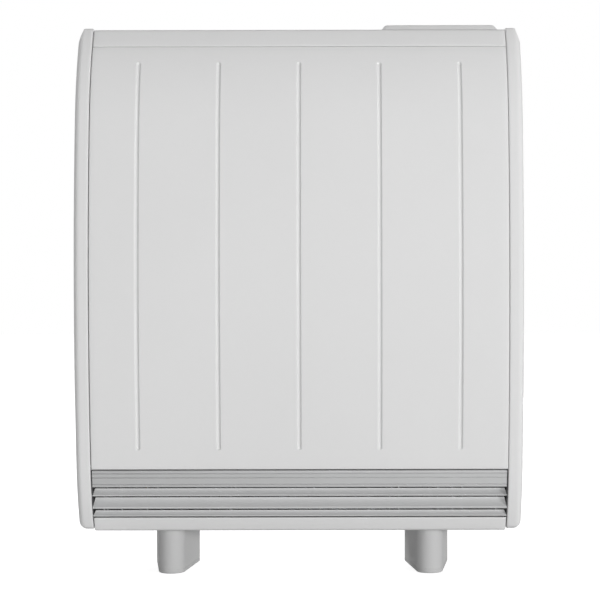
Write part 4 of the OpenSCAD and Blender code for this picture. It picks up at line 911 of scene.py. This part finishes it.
def make_button(kind, x):
    """A button with a stem to its switch, a rim under the hood and a raised sign."""
    under = HOOD_Z - HOOD_WALL - TRIM_GAP
    top = SIGN_Z - SIGN_T
    rim_r = BUTTON_R + BUTTON_RIM
    profile = [(0.0, TOP_Z - STEM_H), (STEM_R, TOP_Z - STEM_H), (STEM_R, under - BUTTON_RIM),
               (rim_r, under - BUTTON_RIM), (rim_r, under), (BUTTON_R, under), (BUTTON_R, top - 0.5),
               (BUTTON_R - 0.15, top - 0.15), (BUTTON_R - 0.5, top), (BUTTON_R - 1.0, top - 0.02),
               (3.0, top - 0.10), (0.0, top - 0.12)]
    body = kind + "_key"
    piece(turned(body, profile, (x, BUTTON_Y, 0.0)), "button_grey", body=body, replaces=[kind + "_button"],
          crease=50.0)
    bars = [sign_bar(x + dx, BUTTON_Y + dy, length, width, turn)
            for dx, dy, length, width, turn in SIGNS[kind]]
    piece(joined(kind + "_sign", bars), "switch_plastic", body=body)


# Screws and back fittings ------------------------

BRACKET_X, BRACKET_HOLE_X, BRACKET_Z = 150.0, 130.0, middle("wall_bracket", "z")
BRACKET_T, BRACKET_WEB, BRACKET_FOOT = 2.0, 20.0, 16.0       # sheet, half the web's height, foot
BRACKET_SCREW_RISE, FOOT_SCREW_IN = 28.0, 24.0
SCREW_SIZES = ("Head Radius", "Head Height", "Shank Radius", "Shank Length")
BACK_SCREW, FOOT_SCREW = (4.0, 1.8, 2.0, 4.5), (5.0, 3.0, 2.5, 19.0)
HOLE_R = 3.5
SPACER_X, SPACER_Z = 230.0, middle("wall_spacers", "z")
SPACER_RECESS = 5.0
back_screw_points = [(s * BRACKET_HOLE_X, BACK_Y + BRACKET_T, BRACKET_Z + t * BRACKET_SCREW_RISE)
                     for s in (-1, 1) for t in (-1, 1)]
back_screw_points += [(s * SPACER_X, WALL_Y - SPACER_RECESS, SPACER_Z) for s in (-1, 1)]
foot_screw_points = [(s * FOOT_X, y, BASE_Z + SKIN)
                     for s in (-1, 1) for y in (FOOT_Y0 + FOOT_SCREW_IN, FOOT_Y1 - FOOT_SCREW_IN)]


def screw_head():
    """A pan head one metre in radius and height, with a crossed recess, which the tree scales."""
    metre = 1.0 / MM
    rim = [(math.cos(a), 0.35 + 0.65 * math.sin(a)) for a in spread(0.0, math.pi / 2, 7)]
    profile = [(r * metre, h * metre) for r, h in [(0.0, 0.0), (0.94, 0.0), (1.0, 0.08)] + rim]
    head = turned("screw_head", profile, (0.0, 0.0, 0.0), steps=28)
    for wide, deep in ((0.66 * metre, 0.11 * metre), (0.11 * metre, 0.66 * metre)):
        cut(head, box_form("recess", -wide, wide, -deep, deep, 0.45 * metre, 1.5 * metre))
    return head


def screw_tree():
    """Screws with crossed recesses, one at each point of the input mesh, each turned its own way."""
    tree, given, result = new_tree("cross_screws", "Screws", {
        "Places": "Geometry", "Head": "Object", "Head Radius": "Float", "Head Height": "Float",
        "Shank Radius": "Float", "Shank Length": "Float", "Lean": "Float", "Seed": "Int",
        "Finish": "Material"})
    head = put(tree, "GeometryNodeObjectInfo", {"Object": given["Head"]}, "Geometry")
    size = put(tree, "ShaderNodeCombineXYZ", {
        "X": given["Head Radius"], "Y": given["Head Radius"], "Z": given["Head Height"]})
    grown = put(tree, "GeometryNodeTransform", {"Geometry": head, "Scale": size}, "Geometry")
    shank = put(tree, "GeometryNodeMeshCylinder", {
        "Vertices": 16, "Radius": given["Shank Radius"], "Depth": given["Shank Length"]}, "Mesh")
    below = put(tree, "ShaderNodeCombineXYZ", {"Z": calc(tree, "MULTIPLY", given["Shank Length"], -0.5)})
    lowered = put(tree, "GeometryNodeTransform", {"Geometry": shank, "Translation": below}, "Geometry")
    whole = put(tree, "GeometryNodeJoinGeometry", {"Geometry": grown}, "Geometry")
    tree.links.new(lowered, whole.node.inputs["Geometry"])
    lean = put(tree, "ShaderNodeCombineXYZ", {"X": given["Lean"]})
    screws = put(tree, "GeometryNodeInstanceOnPoints", {
        "Points": given["Places"], "Instance": whole, "Rotation": lean}, "Instances")
    own = put(tree, "FunctionNodeRandomValue", {3: math.pi, "Seed": given["Seed"]}, 1, data_type="FLOAT")
    about = put(tree, "ShaderNodeCombineXYZ", {"Z": own})
    spun = put(tree, "GeometryNodeRotateInstances", {
        "Instances": screws, "Rotation": about, "Local Space": True}, "Instances")
    return end_tree(tree, spun, given, result)


def make_screws():
    tree, head = screw_tree(), screw_head()
    for name, node, points, sizes, lean, seed in (
            ("back_screw_set", "back_screws", back_screw_points, BACK_SCREW, -math.pi / 2, 7),
            ("foot_screw_set", "foot_screws", foot_screw_points, FOOT_SCREW, 0.0, 11)):
        inputs = {key: size * MM for key, size in zip(SCREW_SIZES, sizes)}
        inputs.update({"Head": head, "Lean": lean, "Seed": seed, "Finish": finishes["screw_zinc"]})
        piece(run_tree(name, points, tree, inputs), "screw_zinc", replaces=[node])
    bpy.data.objects.remove(head)


def make_spacers():
    """Collars with a groove round them, a bore and a recess for the screw's head."""
    seat = WALL_Y - BACK_Y - SPACER_RECESS
    profile = [(2.2, 0.0), (9.6, 0.0), (10.4, 0.3), (11.0, 1.2), (11.0, 3.2), (10.5, 3.6), (10.5, 4.4),
               (11.0, 4.8), (11.0, 9.0), (10.5, 9.7), (9.8, 10.0), (4.9, 10.0), (4.3, 9.5),
               (4.3, seat), (2.2, seat), (2.2, 0.0)]
    collars = [turned("spacer", profile, (s * SPACER_X, BACK_Y, SPACER_Z), axis="y", steps=40)
               for s in (-1, 1)]
    piece(joined("wall_spacer_pair", collars), "spacer_plastic", replaces=["wall_spacers"])


def make_bracket():
    """A folded steel bracket: a web at the wall between two feet on the back panel."""
    t, web = BRACKET_T, BRACKET_WEB
    foot = web + BRACKET_FOOT - t
    plan = [(BACK_Y, web), (BACK_Y, foot), (BACK_Y + t, foot), (BACK_Y + t, web), (WALL_Y, web),
            (WALL_Y, -web), (BACK_Y + t, -web), (BACK_Y + t, -foot), (BACK_Y, -foot), (BACK_Y, -web + t),
            (WALL_Y - t, -web + t), (WALL_Y - t, web - t), (BACK_Y, web - t)]
    outline = [(y, BRACKET_Z + dz) for y, dz in plan]
    obj = rounded(bar_along_x("wall_bracket_fold", outline, -BRACKET_X, BRACKET_X), 0.5, 2, 40)
    for s in (-1, 1):
        place = (s * BRACKET_HOLE_X, WALL_Y - t / 2, BRACKET_Z)
        cut(obj, turned("hole", [(HOLE_R, -3.0), (HOLE_R, 3.0)], place, axis="y"))
    piece(obj, "galvanised_steel", replaces=["wall_bracket"])


GLAND_R, GLAND_BORE_R, GLAND_FLANGE_R = 8.0, 4.75, 12.0
# Height, radius and depth of the flutes at each ring of the gland
GLAND_RINGS = ((50.0, 7.3, 0.0), (50.8, 7.9, 0.0), (52.0, GLAND_R, 0.35), (57.5, GLAND_R, 0.35),
               (59.0, GLAND_R, 0.0), (60.0, GLAND_R, 0.0), (61.2, GLAND_R, 0.0), (61.2, GLAND_FLANGE_R, 0.0),
               (63.8, GLAND_FLANGE_R, 0.0), (64.2, GLAND_FLANGE_R - 0.4, 0.0), (64.2, GLAND_R, 0.0),
               (72.4, GLAND_R, 0.0), (73.2, 7.2, 0.0), (73.2, GLAND_BORE_R, 0.0), (50.0, GLAND_BORE_R, 0.0),
               (50.0, 7.3, 0.0))


def make_gland():
    """A cable gland: fluted nut below the tray, flange and clamp above it, with a bore."""
    rings = []
    for z, r, flute in GLAND_RINGS:
        plain, sunk = circle(r, 48), circle(r - flute, 48)
        plan = [sunk[i] if i % 4 < 2 else plain[i] for i in range(48)]
        rings.append([(GLAND_X + u, GLAND_Y + v, z) for u, v in plan])
    piece(loft("cable_gland_nut", rings, ends=()), "switch_plastic", replaces=["cable_gland"])


make_front_panel()
make_top_panel()
make_base_tray()
make_side_panel(-1, "left_side_shell", "left_side_panel")
make_side_panel(1, "right_side_shell", "right_side_panel")
make_back_panel()
make_grille()
make_foot(-FOOT_X, "left_foot_moulding", "left_foot")
make_foot(FOOT_X, "right_foot_moulding", "right_foot")
make_hood()
make_display()
for kind, x in zip(BUTTONS, button_xs):
    make_button(kind, x)
make_screws()
make_spacers()
make_bracket()
make_gland()

# Studio ------------------------

SEEN = ("Is Camera Ray", "Is Glossy Ray", "Is Transmission Ray")
SKY_LIGHT = 0.22
FLOOR_HALF, FLOOR_GREY, FLOOR_LIFT = 12000.0, 0.55, 0.84


def seen_directly(tree):
    """1 where a ray comes from the camera, from a gloss or through glass."""
    paths = put(tree, "ShaderNodeLightPath", {}).node.outputs
    out = paths[SEEN[0]]
    for name in SEEN[1:]:
        out = calc(tree, "MAXIMUM", out, paths[name])
    return out


world = bpy.data.worlds.new("studio")
bpy.context.scene.world = world
world.use_nodes = True
tree = world.node_tree
pure = (1.0, 1.0, 1.0, 1.0)
soft = tree.nodes["Background"]
feed(tree, pure, soft.inputs["Color"])
feed(tree, SKY_LIGHT, soft.inputs["Strength"])
white = put(tree, "ShaderNodeBackground", {"Color": pure, "Strength": 1.0})
mix = put(tree, "ShaderNodeMixShader", {"Fac": seen_directly(tree), 1: soft.outputs[0], 2: white})
feed(tree, mix, tree.nodes["World Output"].inputs["Surface"])

corners = [(-FLOOR_HALF, -FLOOR_HALF, 0), (FLOOR_HALF, -FLOOR_HALF, 0), (FLOOR_HALF, FLOOR_HALF, 0),
           (-FLOOR_HALF, FLOOR_HALF, 0)]
floor = raw_object("studio_floor", corners, [(0, 1, 2, 3)])
pale = bpy.data.materials.new("floor_pale")
pale.use_nodes = True
tree = pale.node_tree
base = tree.nodes["Principled BSDF"]
base.inputs["Base Color"].default_value = (FLOOR_GREY, FLOOR_GREY, FLOOR_GREY, 1.0)
base.inputs["Roughness"].default_value = 0.9
lift = put(tree, "ShaderNodeEmission", {"Strength": calc(tree, "MULTIPLY", seen_directly(tree), FLOOR_LIFT)})
both = put(tree, "ShaderNodeAddShader", {0: base.outputs[0], 1: lift})
feed(tree, both, tree.nodes["Material Output"].inputs["Surface"])
floor.data.materials.append(pale)


def softbox(name, place, target_z, size, watts):
    """A round soft lamp that looks at the heater's middle at height target_z."""
    lamp = bpy.data.lights.new(name, "AREA")
    lamp.shape = "DISK"
    lamp.size = size
    lamp.energy = watts
    obj = bpy.data.objects.new(name, lamp)
    obj.location = place
    obj.rotation_euler = (Vector((0.0, 0.0, target_z)) - Vector(place)).to_track_quat("-Z", "Y").to_euler()
    bpy.context.scene.collection.objects.link(obj)


softbox("front", (0.0, -5.0, 0.6), 0.4, 1.3, 89.0)
softbox("side_right", (3.9, -3.4, 0.6), 0.4, 1.3, 119.0)
softbox("back", (0.6, 3.4, 1.0), 0.45, 1.6, 34.0)
softbox("high_left", (-2.2, 2.2, 2.9), 0.45, 1.6, 50.0)

# Camera ------------------------
# The eye stands right of the middle but upright lines stay upright, so the picture is shifted
# sideways and the camera looks straight back.

EYE = (0.0508, -2.1478, 0.3747)
LENS, SENSOR_W = 95.76, 36.0         # millimetres
SHIFT, FAR_CLIP = -0.0637, 60.0      # share of the picture's width, metres
TIP_DOWN, ROLL = 0.29, 0.10         # degrees

camera = bpy.data.cameras.new("camera")
camera.sensor_width = SENSOR_W
camera.lens = LENS
camera.shift_x = SHIFT
camera.clip_end = FAR_CLIP
eye = bpy.data.objects.new("camera", camera)
eye.location = EYE
eye.rotation_euler = (math.radians(90.0 - TIP_DOWN), math.radians(ROLL), 0.0)
bpy.context.scene.collection.objects.link(eye)
bpy.context.scene.camera = eye
bpy.context.scene.view_settings.view_transform = "Standard"
